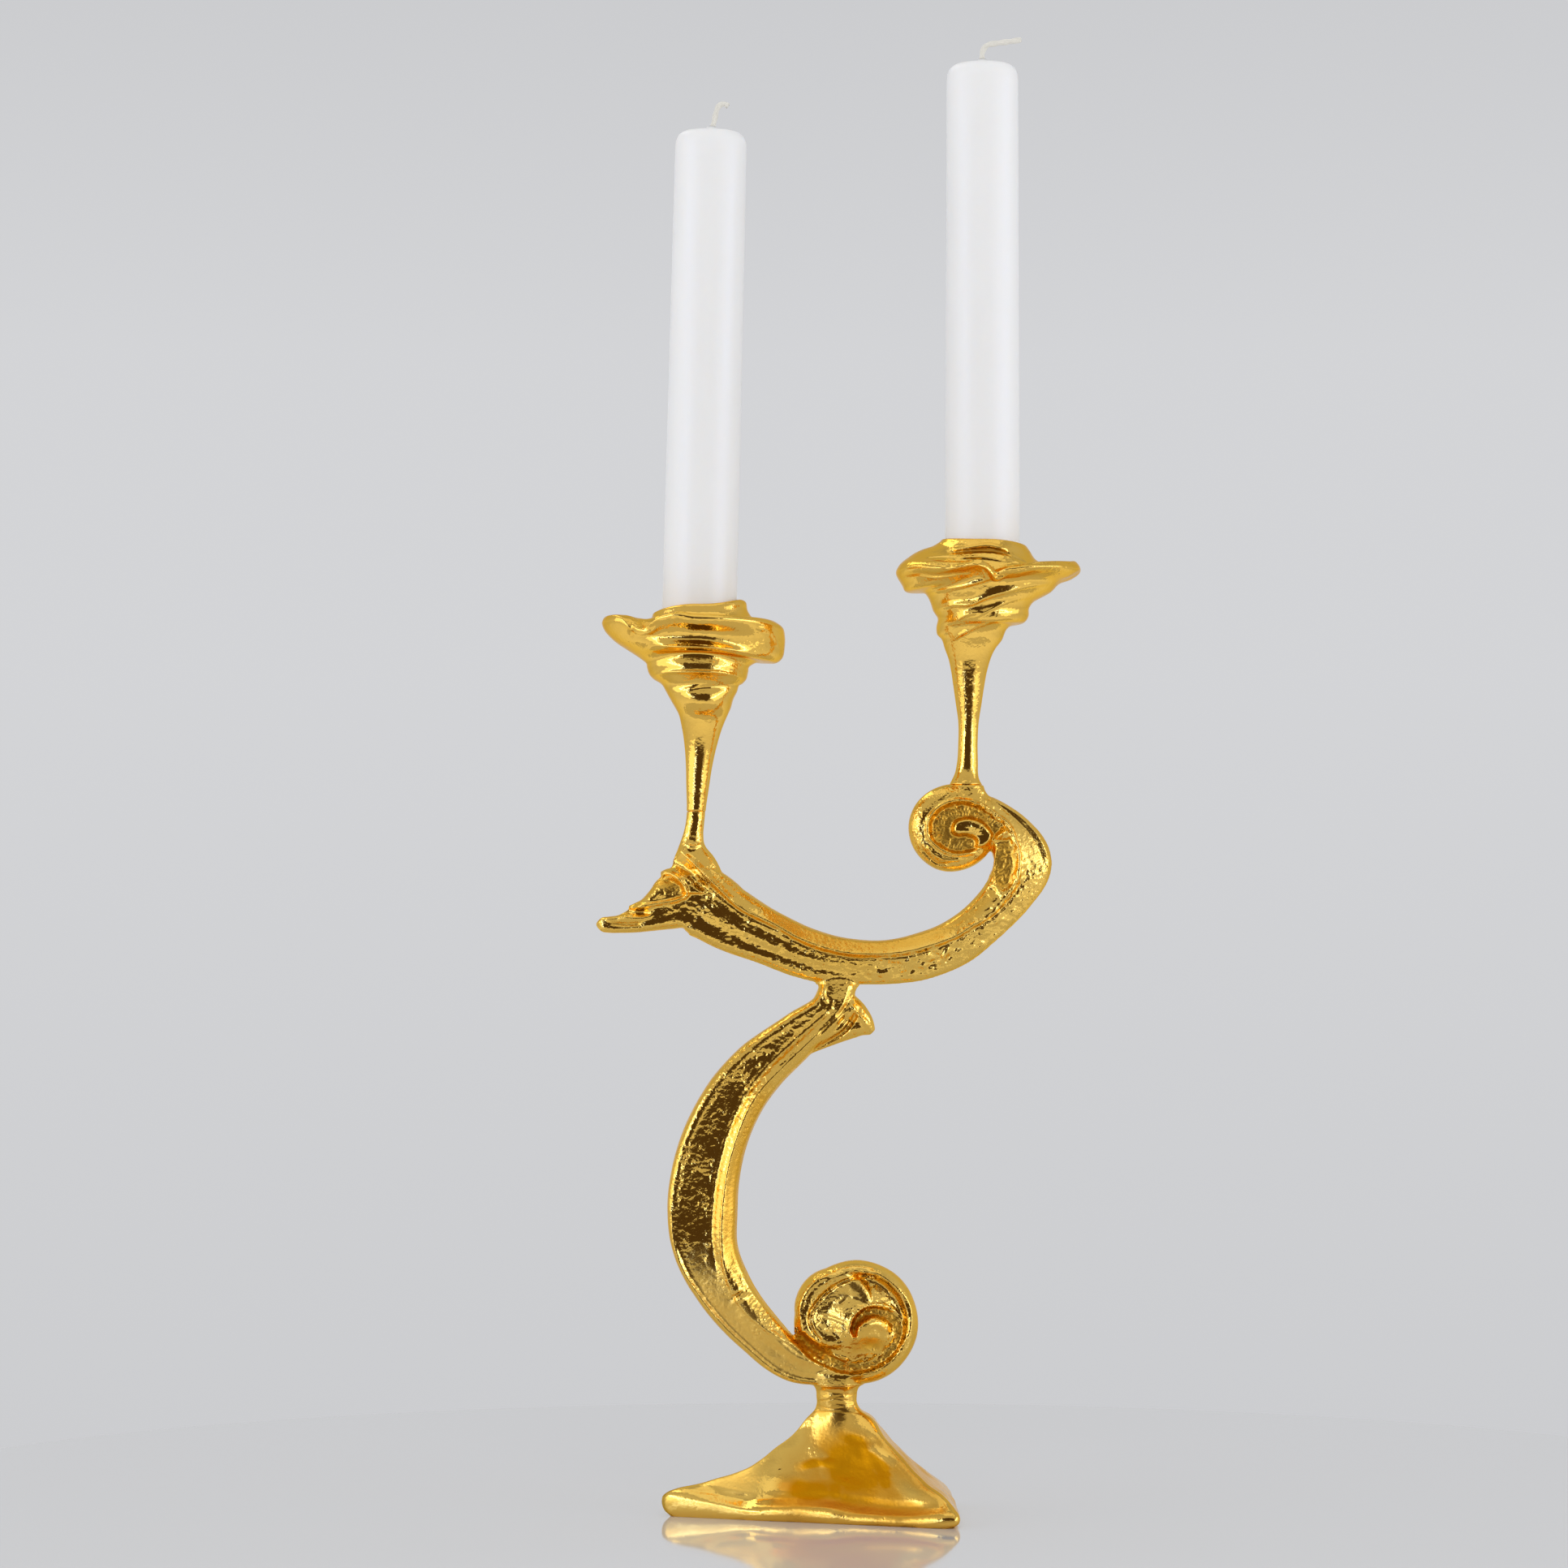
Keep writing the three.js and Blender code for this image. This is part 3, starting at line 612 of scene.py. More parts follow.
def level(mesh, plates):
    # hollows and pads in the front and the back: [distance of the plate from the middle plane, width of its
    # edge, tone of the gold there as painted shade, outline in the front view, running with the clock]
    points, normals = readSurface(mesh)
    recess = np.zeros(len(points))
    for height, edge, tone, outline in plates:
        near, gap, _, left = nearPath(points[:, ::2], outline + outline[:1], edge)
        share = np.clip(np.where(left, -gap, gap) / edge, 0, 1)
        share = share * share * (3 - 2 * share) * (np.abs(normals[near, 1]) > tool["plateFacing"])
        deep = points[near, 1]
        points[near, 1] = deep + (np.sign(deep) * height - deep) * share
        recess[near] = recess[near] * (1 - share) + tone * share
    movePoints(mesh, points)
    markRecess(mesh, recess)


def roughen(mesh, amount, size, seed):
    # slow, shallow unevenness over the whole skin
    points, normals = readSurface(mesh)
    offset = Vector([seed * shift for shift in tool["unevenShift"]])
    lift = np.array([noise.noise(Vector(p) / size + offset) for p in points])
    movePoints(mesh, points + normals * (amount * lift)[:, None])


def grit(mesh, bands, seed):
    # coarse sand-cast skin along bands: [half width, height, size of the grains, path in the front view]
    points, normals = readSurface(mesh)
    offset = Vector([seed * shift for shift in tool["gritShift"]])
    lift = np.zeros(len(points))
    for halfWidth, height, size, path in bands:
        near, gap, _, _ = nearPath(points[:, ::2], path, halfWidth)
        shape = np.clip(1 - (gap / halfWidth) ** 2, 0, 1) * height
        grains = [noise.fractal(Vector(p) / size + offset, *tool["gritNoise"]) for p in points[near]]
        lift[near] += shape * grains
    movePoints(mesh, points + normals * lift[:, None])


def pock(mesh, spots, seed, height=0.3):
    # scattered lumps and craters: a spot is [x, z, spread, how many]
    draw = np.random.default_rng(seed)
    points, normals = readSurface(mesh)
    lift = np.zeros(len(points))
    for x, z, spread, count in spots:
        for _ in range(count):
            centre = np.array([x, z]) + draw.normal(0, spread, 2)
            size = draw.uniform(*tool["lumpSize"])
            push = draw.choice(tool["lumpSigns"]) * draw.uniform(*tool["lumpHeight"])
            gap = np.hypot(*(points[:, ::2] - centre).T)
            lift += push * np.clip(1 - (gap / size) ** 2, 0, 1) ** 2
    points[:, 1] += normals[:, 1] * lift * height
    movePoints(mesh, points)


def trim(mesh, height, side, upTo=np.inf):
    # a flat joint face: cuts off what lies below a height, or above it, as far along X as asked
    bm = bmesh.new()
    bm.from_mesh(mesh)
    faces = [face for face in bm.faces if face.calc_center_median().x < upTo]
    edges = {edge for face in faces for edge in face.edges}
    verts = {vert for face in faces for vert in face.verts}
    parts = [*verts, *edges, *faces]
    plane = {"plane_co": (0, 0, height), "plane_no": (0, 0, side)}
    cut = bmesh.ops.bisect_plane(bm, geom=parts, dist=tool["cutSlack"], clear_outer=True, **plane)
    rim = [part for part in cut["geom_cut"] if isinstance(part, bmesh.types.BMEdge)]
    bmesh.ops.holes_fill(bm, edges=rim)
    bm.to_mesh(mesh)
    bm.free()


def dress(name, mesh, body, node, paint):
    mesh.transform(Matrix.Scale(mm, 4))
    mesh.name = name
    mesh.materials.clear()
    mesh.materials.append(paint)
    mesh.shade_smooth()
    piece = addObject(name, mesh)
    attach(piece, body)
    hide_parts(node)
    print(name, len(mesh.polygons), "faces")


def makeScroll(name, node, scroll, section):
    # an arm, discs, blades and posts run together into one casting, which is then tooled
    bm = bmesh.new()
    rollTube(bm, armRings(smoothRows(scroll["arm"], scroll["armSteps"]), section))
    for place, steps, profile in scroll["discs"]:
        rollTube(bm, discRings(profile, place, steps))
    for steps, blade in scroll["blades"]:
        rollTube(bm, armRings(smoothRows(blade, steps), ovalSection))
    for steps, post in scroll["posts"]:
        rollTube(bm, postRings(smoothRows(post, steps)))
    mesh = fuse(bm, name, scroll["voxel"])
    roughen(mesh, *scroll["uneven"])
    level(mesh, scroll["plates"])
    grit(mesh, scroll["grit"], scroll["gritSeed"])
    carve(mesh, scroll["strokes"], tool["faces"])
    pock(mesh, scroll["pocks"], scroll["pockSeed"])
    for cut in scroll["cuts"]:
        trim(mesh, *cut)
    dress(name, mesh, "holder", node, castGilt)


# Lower scroll: a tall channelled C, a snail of a volute at its foot, a leaf at its top

lowerScroll = {
    "armSteps": 230,
    # x, z, width, depth, outer bevel, inner band, then outer rim and floor as shares of half the depth
    "arm": [
        (2, 43.2, 8.4, 11.5, 1.6, 3, 0.7, 0.9),
        (-12.2, 44.8, 11.4, 13, 2.4, 4, 0.7, 0.84),
        (-24.2, 54.9, 14.4, 14.2, 2.8, 5, 0.66, 0.84),
        (-34, 67.4, 16.8, 15, 2.6, 5.6, 0.64, 0.82),
        (-38.6, 77.3, 18.9, 15, 2, 5.2, 0.7, 0.8),
        (-39.9, 90.5, 20.8, 15, 1.5, 4.6, 0.84, 0.76),
        (-37.8, 105.9, 19.6, 15, 1.7, 4, 0.9, 0.78),
        (-32.1, 119.9, 18.2, 15, 2.2, 4, 0.9, 0.77),
        (-23, 131.9, 16.2, 14.4, 2.6, 4.2, 0.92, 0.78),
        (-11.7, 141.4, 13.4, 13.4, 2.2, 4, 0.92, 0.8),
        (-2.8, 148.9, 11, 12.4, 1.8, 3.2, 0.93, 0.86),
        (0, 157, 10, 8.4, 1.6, 2.4, 0.94, 0.94),
    ],
    # the volute and the lobe beside it: middle, steps from face to face, radius and depth of each ring
    "discs": [
        ((5.2, 57), 60, [(0.3, -8.2), (4, -7.2), (8, -5.3), (11.5, -3.5), (13.4, -2.8), (14.4, -4.6),
                         (15.2, -6.2), (16.2, -5.8), (17.4, -4), (18.1, -1.4)]),
        ((-0.8, 61), 50, [(0.3, -4.6), (5, -5), (8.6, -6.2), (10.4, -5.9), (11.6, -3.8), (12.1, -1.2)]),
    ],
    # the leaf: steps, then x, z, width, depth
    "blades": [
        (60, [(-14, 136.6, 6, 9.4), (-6, 140.4, 7.4, 9.2), (1.5, 143.2, 7.6, 8.8), (6.6, 143.4, 5.6, 7.8),
              (9.8, 142.2, 2.4, 5)]),
        (60, [(-2, 152, 6.4, 10.4), (2.4, 149.2, 8.2, 9.8), (5.8, 146.2, 7.6, 8.8),
              (8.4, 143.7, 5.2, 7.4), (10.2, 142, 2, 4.6)]),
    ],
    # the land on the foot and the link to the upper scroll: steps, then x, z, radius along x, along y
    "posts": [
        (12, [(-0.4, 37.4, 7.2, 6.3), (-0.4, 39, 7.5, 6.4), (-0.4, 40.6, 8.8, 6.6),
              (-0.4, 42.4, 10.4, 6.4)]),
        (16, [(0, 149, 5, 6), (-0.1, 152.6, 4.8, 5.2), (-0.1, 154.6, 5.2, 4.6), (0, 156, 6.2, 4.2),
              (0, 158, 6.8, 3.6)]),
    ],
    "cuts": [(38.6, -1), (156, 1)],  # below the first height, above the second
    "voxel": 0.44,
    "uneven": (0.22, 10, 1),         # height, size, seed
    "gritSeed": 2,
    "pockSeed": 11,
    # the groove that winds in round the eye of the volute, painted deeper gold as painted shade
    "plates": [
        (3.2, 1.1, 0.5, [(4.1, 52.6), (3, 54.8), (3.3, 56.9), (5.1, 60.1), (7.2, 61.7), (9.9, 62.2),
                         (13.6, 61.7), (16.7, 59.8), (18.6, 56.9), (19.1, 53.8), (17.8, 50.1),
                         (14.6, 46.4), (8.8, 43.1), (2.5, 42), (-4.4, 43.9), (-8.7, 46.4), (-11.8, 50.1),
                         (-13.1, 53.2), (-10.2, 54.8), (-8.1, 52.7), (-3.4, 49), (0.9, 46.8), (4.6, 45.7),
                         (8.8, 45.9), (12.5, 47.4), (14.7, 49.5), (15.8, 52.2), (15.4, 54.8),
                         (14.1, 56.9), (12, 58.1), (9.3, 58.2), (7.2, 57), (5.7, 55), (5.4, 52.9)]),
    ],
    "strokes": [
        # the valley between the arm and the volute, and the crevice inside the rim
        (2, -1.6, [(-13.4, 56.8), (-12.4, 54.6), (-9.6, 51.2), (-6, 48.4), (-2, 46.4)]),
        (0.9, -1, [(11.6, 70.6), (7.9, 70.8), (2.6, 69.6), (-2.1, 67.1), (-5.4, 64.1), (-7.8, 60.8),
                   (-8.5, 57.8), (-7.4, 54.4), (-4.8, 51.4)]),
        # rims
        ((0.6, 1.4), 0.5, [(18.5, 50.4), (20.6, 54.4), (21.2, 58.6), (20.7, 62.4), (19.3, 64.8),
                           (16, 68.3), (12.2, 71), (5.5, 71.4), (-0.7, 70.5), (-5, 68)]),
        (1.2, 0.5, [(-1.4, 71.3), (-6.1, 69.5), (-9.5, 66.1), (-11.1, 62.4), (-11.5, 59.8), (-10.5, 56.4)]),
        # the crest of the groove, the head of the eye, and the dip below it, painted deep gold as painted
        # shade
        (0.7, 0.4, [(4.1, 52.6), (3, 54.8), (3.3, 56.9), (5.1, 60.3), (9.9, 62.5), (13.6, 62), (16.9, 60),
                    (18.9, 57), (19.4, 53.8), (18, 49.8), (14.8, 46), (8.8, 42.7), (2.5, 41.4)]),
        (1.9, 0.7, [(6.6, 54.4), (8.4, 56.4), (11, 57), (13.4, 55.6), (14.4, 53)], 0),
        (2.6, -0.8, [(5, 50), (8.4, 50.8), (11.4, 50.6), (13.6, 49.2)], 0.7),
        # the satin field, and the broad ripples that fan out over it
        (9, 0, [(-4, 58), (-1, 64), (5, 66.6), (12, 66)], -0.6),
        ((3.4, 0.8), 0.55, [(2.7, 69.6), (3.8, 65.9), (4.8, 62.2)]),
        ((3, 0.8), 0.55, [(9.9, 70.2), (10.1, 66.5), (10.7, 63)]),
        ((2.4, 0.8), 0.5, [(14.6, 68), (15.4, 65.4), (16.7, 62.8)]),
        # cracks
        (0.6, -0.5, [(-5.4, 59.3), (-2.1, 58.6), (2.6, 56.8)]),
        (0.5, -0.4, [(-4.4, 54.8), (-2, 55.4), (0.4, 55.2)]),
        (0.5, -0.4, [(-0.8, 51.2), (0.2, 51.8), (1.2, 51.9)]),
        (0.5, -0.35, [(2.4, 64.4), (0.4, 62.6), (-1.6, 62.2)]),
        # the nick and the dents on the foot of the arm
        (0.8, -0.8, [(-31.7, 63.9), (-29.6, 65.4), (-27.6, 66.4)]),
        (0.8, 0.4, [(-31.2, 62.4), (-29.2, 63.8), (-27, 64.8)]),
        (2.2, -0.6, [(-20, 49.8), (-18.6, 49), (-17.2, 48.6)]),
        (3, 0.5, [(-30.4, 63), (-25, 56.6), (-18, 51.4)]),
        (6.5, 0, [(-41, 76), (-37, 67), (-29, 57), (-18, 48), (-6, 42)], -0.9),
        # the ridge of the arm and the step beside it
        ((2, 0.7), 0.6, [(1.1, 148.4), (-6.3, 141.4), (-16.1, 132), (-24.3, 123.4), (-29.2, 113.1),
                         (-32.5, 101.6), (-34, 91), (-34.3, 80.3), (-33.3, 72.1), (-30.9, 65.6),
                         (-27.6, 60.6), (-21, 54.9), (-14.5, 51.2), (-8.7, 46.7)]),
        (1.5, -0.5, [(-2.6, 148.6), (-9.6, 142.4), (-18.8, 133.8), (-26.6, 124.6), (-31.8, 113.6),
                     (-35, 102), (-36.6, 91), (-36.8, 80.4), (-35.6, 72)]),
        # the band inside the ridge, duller and painted deeper gold as painted shade
        (3, -0.2, [(-21, 126), (-26.4, 113), (-30, 101.6), (-31.4, 91), (-31.6, 80.3), (-30.4, 72.1)], 0.5),
        # leaf
        (1.2, -1.3, [(5.6, 148.4), (3.8, 145.2), (1.9, 142.6), (-3, 139.4), (-8, 136.6)]),
        (1, -0.9, [(3.2, 150.8), (0, 147.2), (-3, 144.3), (-6.3, 141)]),
        (0.9, 0.6, [(9.4, 143.2), (7.4, 145.4), (5, 148), (3.6, 150.4)]),
        # the plate on the link
        (0.8, 0.5, [(-4.2, 155.6), (-4.4, 152.6), (-3, 150)]),
        (0.8, 0.5, [(4, 155.6), (4.4, 153), (4.6, 150.6)]),
    ],
    "grit": [
        (8, 0.06, 1.1, [(0, 150), (-12, 142), (-24, 132), (-33, 119), (-38, 106), (-41, 92), (-40, 80),
                        (-36, 70)]),
        (2.6, 0.5, 1, [(-12.2, 53.4), (-9.8, 50.4), (-6, 47), (-1, 44.6), (4, 43.6), (9, 44.4),
                       (14, 47.4), (17.2, 52), (16.8, 56.6), (13, 60), (8, 59.8), (4.8, 56.6)]),
        (2, 0.25, 1.1, [(11.6, 71), (2.6, 69.8), (-5.4, 64.1), (-8.5, 57.8), (-4.8, 51.1)]),
    ],
    "pocks": [(10, 66, 2.6, 6), (0, 62, 2.6, 3), (-27, 126.5, 2.2, 18), (-22, 134, 2.4, 16),
              (-33, 117, 2.4, 16), (-42, 92, 3.4, 24), (-40, 104, 3.2, 22), (-14, 141.4, 2, 10),
              (-41, 80, 2.8, 16)],
}


def channelSection(width, depth, bevel, band, rim, floor):
    # from the outer edge over the rim, the floor of the channel and the ridge to the inner edge
    half = width / 2
    inner = band - half
    outer = half - bevel
    field = outer - inner
    outline = [
        (half, 0), (half - bevel * 0.08, 0.4), (half - bevel * 0.42, 0.76), (outer, rim),
        (outer - field * 0.18, rim * 0.6 + floor * 0.4), (outer - field * 0.4, rim * 0.25 + floor * 0.75),
        (inner + field * 0.38, floor), (inner + field * 0.18, floor + 0.07), (inner + field * 0.05, 0.96),
        (inner, 1), (inner - band * 0.45, 0.92), (inner - band * 0.86, 0.58), (-half, 0),
    ]
    return bothFaces(outline, depth)


makeScroll("lowerScrollCast", "lower_scroll", lowerScroll, channelSection)


# Upper scroll: a shallow bowl of a C, with a torn fish tail on the left and a volute on the right

upperScroll = {
    "armSteps": 240,
    # x, z, width, depth, upper band, lower bevel, then the face below the ridge as shares of half the depth
    "arm": [
        (-71, 173.6, 1, 1.4, 0.3, 0.2, 0.98, 0.95, 0.92, 0.9),
        (-69.9, 173.6, 3.6, 4, 1, 0.6, 0.98, 0.95, 0.92, 0.9),
        (-67.6, 173.5, 4.8, 5.2, 1.2, 0.8, 0.97, 0.94, 0.92, 0.9),
        (-64.2, 173.7, 5.4, 6, 1.4, 0.8, 0.96, 0.94, 0.93, 0.9),
        (-60.4, 174.6, 7.2, 7.4, 1.6, 1, 0.95, 0.93, 0.92, 0.9),
        (-55.5, 176.4, 10.4, 9, 1.8, 1.2, 0.93, 0.9, 0.88, 0.86),
        (-51.7, 178.2, 13.6, 10, 2, 1.4, 0.9, 0.88, 0.84, 0.8),
        (-47.9, 180.2, 17.4, 11, 2.6, 1.5, 0.86, 0.85, 0.78, 0.74),
        (-42.3, 180.8, 20.6, 12, 3.4, 1.6, 0.82, 0.83, 0.7, 0.68),
        (-31.9, 175.2, 18.9, 12.8, 3.8, 1.6, 0.8, 0.8, 0.64, 0.64),
        (-20, 169.5, 16.2, 13, 4, 1.7, 0.79, 0.79, 0.62, 0.62),
        (-9.5, 165, 15, 13, 4, 1.8, 0.8, 0.77, 0.62, 0.59),
        (1.9, 162.7, 13.8, 13, 4, 1.8, 0.82, 0.74, 0.61, 0.54),
        (13.1, 162.5, 13.1, 13, 4.2, 1.6, 0.83, 0.71, 0.58, 0.47),
        (23.1, 163.9, 13.9, 13, 4.6, 1.6, 0.83, 0.7, 0.56, 0.44),
        (32.4, 167.2, 14, 13, 5, 1.6, 0.83, 0.7, 0.56, 0.44),
        (42.6, 174.6, 13.3, 13, 5.6, 1.4, 0.83, 0.71, 0.58, 0.47),
        (50.3, 183.2, 14.9, 13, 6.4, 1.6, 0.83, 0.71, 0.58, 0.48),
        (54, 192.2, 17.2, 13, 7.4, 1.8, 0.84, 0.71, 0.58, 0.47),
        (51, 198.8, 14.4, 12.8, 6.4, 1.8, 0.84, 0.72, 0.6, 0.5),
        (44.8, 205.1, 11.2, 12.4, 4.6, 1.6, 0.87, 0.76, 0.66, 0.56),
        (38, 209, 8.4, 11.8, 3, 1.4, 0.95, 0.94, 0.92, 0.9),
    ],
    # the volute: middle, steps from face to face, radius and depth of each ring
    "discs": [
        ((33.4, 201.9), 50, [(0.3, -6.1), (5, -6.1), (8, -6.1), (9.8, -5.6), (11.4, -4.6), (12.4, -3.2),
                             (12.8, -1)]),
    ],
    # fins of the tail: steps, then x, z, width, depth
    "blades": [
        (40, [(-45.8, 181.2, 6.4, 8.6), (-52.7, 180.4, 4.8, 7.4), (-58, 179, 3.2, 6),
              (-61.4, 178.2, 1.6, 4)]),
        (40, [(-42.6, 184.4, 6.4, 10), (-47.2, 187.4, 5, 9.6), (-50, 188.2, 3.8, 8.4),
              (-52, 187.8, 2.4, 5.6)]),
    ],
    # the stub under the left cup, the boss under the right one and the land on the link:
    # steps, then x, z, radius along x, along y
    "posts": [
        (40, [(-42.2, 182.6, 8.2, 6.2), (-41.8, 189.6, 7.4, 5), (-42.4, 193.6, 5.7, 4.2),
              (-43, 196.6, 3.9, 3.6), (-42.6, 200, 3, 3), (-42.1, 203, 2.8, 2.85),
              (-41.8, 206.2, 2.8, 2.8), (-41.8, 209, 2.8, 2.8)]),
        (16, [(38.8, 206.4, 9.4, 6), (38.5, 209, 7.8, 5.7), (38, 211.4, 6, 5.3), (37.7, 213.4, 5.1, 5),
              (37.7, 214.5, 4.9, 4.8)]),
        (12, [(0, 154.6, 6, 4.6), (0, 156.4, 6.6, 4), (0, 158.4, 7.8, 3), (0, 160.6, 8.6, 2),
              (0, 162.4, 8.6, 1.4)]),
    ],
    "cuts": [(156, -1), (206.6, 1, -30)],  # below the first height, and above the second on the stub alone
    "voxel": 0.42,
    "uneven": (0.22, 9, 3),                # height, size, seed
    "gritSeed": 4,
    "pockSeed": 12,
    # the hollow inside the spiral, the one inside the hook, both painted deeper gold as painted shade, and
    # the eye
    "plates": [
        (4.1, 1, 0.45, [(46.4, 199.2), (43.4, 196.4), (40.4, 195), (37.1, 194.4), (33.9, 194.2),
                        (31.1, 195.2), (28.5, 197), (26.8, 199), (26.3, 201.4), (26.8, 204.1),
                        (28.5, 206.5), (31, 208.3), (34.5, 209.3), (38.1, 209.1), (41.6, 207.8),
                        (45.2, 205.6), (49, 202.4)]),
        (5.1, 2.2, 0.5, [(51.6, 197.7), (52.3, 195), (52.6, 190.8), (52.2, 187.4), (50.6, 184.2),
                         (48, 182.4), (45.4, 184.6), (43.4, 189), (43.8, 194), (45.8, 197.4),
                         (48.4, 199.4), (50.6, 200.2)]),
        (6.6, 1.3, -0.1, [(32.6, 201.9), (33.5, 203.8), (36, 205), (38.7, 205.1), (41.8, 204.1),
                          (44.3, 201.8), (45.5, 199.5), (44.8, 197.5), (43, 195.8), (41, 195.3),
                          (39.5, 196.2), (39.7, 197.8), (38.8, 198.7), (37.1, 199.1), (34.6, 199.1),
                          (32.8, 200.1)]),
    ],
    "strokes": [
        # the sharp ridge that runs the whole length and winds into the volute, steep on its lower side
        ((1.6, 0.5), 0.7, [(-46.4, 194.8), (-42.3, 191.3), (-38.2, 187.1), (-34.1, 183.2), (-30.3, 179.4)]),
        ((2.2, 0.7), 0.9, [(-46.4, 194.8), (-42.3, 191.3), (-38.2, 187.1), (-33, 181.9), (-27.8, 177.4),
                           (-24.5, 176), (-18.6, 173.3), (-12.6, 169.8), (-6.7, 167.4), (-0.7, 165.6),
                           (5.2, 164.8), (11.2, 164.8), (17.1, 165.1), (23.1, 166.2), (29, 168),
                           (34.5, 170), (38.2, 172.4), (45.6, 177), (49.3, 181.8), (51.9, 185),
                           (52.5, 187.6)]),
        ((1, 0.8), 0.9, [(51.9, 185), (52.5, 187.6), (52.7, 190.8), (52.7, 195), (51.9, 197.7),
                         (51.1, 200.3), (49.6, 203)]),
        ((0.9, 0.8), 1.2, [(51.1, 200.3), (49.6, 203), (45.6, 206.1), (41.9, 208.3), (38.2, 209.6),
                           (34.5, 209.8), (30.8, 208.8), (28.1, 206.9), (26.3, 204.3), (25.7, 201.4),
                           (26.3, 198.7), (28.1, 196.6), (30.8, 194.8), (33.9, 193.7), (37.1, 194),
                           (39.8, 194.6)]),
        (0.7, -0.5, [(-38, 185), (-30.8, 178.8), (-24, 174.7), (-18, 171.9), (-12.2, 168.5), (-6.2, 166),
                     (0, 164.4), (5.4, 163.7), (11.2, 163.7), (17.3, 164), (23.6, 165.1), (29.6, 167),
                     (36, 169.9), (42, 173.7), (47.2, 177.6), (50.8, 181.6), (53.2, 185.4)], 0.1),
        # painted shade in deep gold on the band above the ridge, and the satin of the face below it
        (2.6, -0.25, [(-20, 176.6), (-10, 171.4), (0, 168.2), (10, 167.2), (20, 168.2), (29, 171),
                      (36, 174.6), (42, 179.6), (46, 185)], 0.35),
        (5.5, 0, [(14, 161), (26, 162.6), (36, 167.4), (45, 174.4), (52, 181)], -0.35),
        (5, 0, [(56, 186), (57, 192), (54, 199), (48, 206)], -0.6),
        # the crown of the eye
        (2.8, 0.8, [(35.4, 202), (38.6, 202.8), (41.6, 201), (42.6, 198.4)]),
        # the rope round the lower coil, and the fold between the volute and the hook
        (0.8, -0.8, [(24.2, 195.8), (26.4, 193.4), (28.6, 191.6), (32.4, 191.2)]),
        (0.8, 0.5, [(25.6, 196.6), (28, 193.8), (31.4, 192.4), (36, 192.6)]),
        (0.9, 0.9, [(45.6, 198.4), (48, 200), (50.6, 201.2)]),
        # the rope along the outer edge of the hook, and its corner
        (0.8, 0.5, [(41.4, 213), (45, 211.2), (51, 207), (55.8, 202.8), (59.2, 198), (61.2, 193.2)]),
        (0.7, -0.4, [(42.6, 210.8), (46, 209), (51, 205), (55.4, 200.6), (58.2, 196.4), (59.8, 192.6)]),
        (2.4, 0.3, [(49.6, 176.8), (52.6, 181), (55, 184.4), (57.6, 187.2), (61, 190.4)]),
        # ripples on the belly
        (1.1, 0.5, [(18, 159), (20, 162), (21, 164)]),
        (1, -0.45, [(20.6, 159), (22.8, 162.4), (23.6, 165)]),
        (1.1, 0.5, [(23.4, 159.6), (25.6, 163), (26.4, 166)]),
        (1, -0.45, [(26, 160.4), (28.4, 164), (29.2, 167)]),
        (1.1, 0.5, [(29, 161.6), (31.4, 165), (32.2, 168)]),
        (1, -0.45, [(31.8, 163), (34, 166), (35, 169)]),
        # the tail: crisp crests with scoops that open to the upper left, painted deep gold as painted shade
        ((1.4, 5), -2.6, [(-55, 185.6), (-51.4, 186.6), (-48.6, 186), (-46.6, 184.2), (-45.8, 182.4)], 0.7),
        (1.5, -1.5, [(-54.8, 176.9), (-57, 177.1), (-60, 177.2), (-66, 177.4)], 0.1),
        (2.3, -1.6, [(-37.5, 183), (-40.6, 185.6), (-44.1, 189.1), (-47.4, 192), (-50, 194)], 0.1),
        (0.9, 1.3, [(-52.3, 187.1), (-50.8, 188.5), (-48.9, 188.3), (-46.5, 186.6), (-44.6, 183.7),
                    (-44.4, 182.1), (-46.5, 180.9), (-52.3, 179.7), (-57.5, 178.9), (-60.4, 178.5)]),
        (0.8, 0.5, [(-69, 175.2), (-64, 175.6), (-59, 175.3), (-55.2, 176), (-54, 177.4)]),
        (0.8, -0.7, [(-67, 174), (-62, 173.6), (-57.4, 173.8)], 0.4),
        # the knuckle under the stub
        (1.6, 0.8, [(-47.6, 193.2), (-46, 194.8), (-43.6, 196)]),
        (0.8, 0.6, [(-44.6, 197), (-42.4, 196.2), (-40.6, 197)]),
    ],
    "grit": [
        (6.5, 0.08, 1.3, [(-52, 178), (-44.5, 180), (-36, 174.6), (-23.5, 168), (-10.7, 162.4),
                          (2, 159.6)]),
        (3.6, 0.5, 1.7, [(49.2, 200), (49, 194.5), (47.8, 190), (46, 184)]),
        (2.6, 0.6, 0.9, [(46.5, 203.4), (42.3, 206), (37, 207.2), (32.4, 206.2), (29.6, 203.8),
                         (28.7, 200.9), (30.4, 197.6), (34, 196.4), (38, 196.8)]),
        (2.2, 0.2, 0.9, [(-48, 192.6), (-44.1, 189.1), (-40, 185)]),
        (5, 0.24, 1.3, [(8, 161), (22, 161.6), (36, 167), (48, 177), (56, 190)]),
        (5, 0.5, 3.4, [(12, 161), (22, 161.6), (36, 167), (48, 177), (56, 190)]),
    ],
    "pocks": [(-38, 180, 2.6, 24), (-28, 173, 2.6, 22), (-18, 168, 2.4, 20), (-46, 179, 2.4, 18),
              (30, 205.6, 1.2, 6), (38, 207, 1.4, 5), (48.8, 194, 1.6, 10), (30, 193.4, 1, 5),
              (-9, 163, 2, 12)],
}


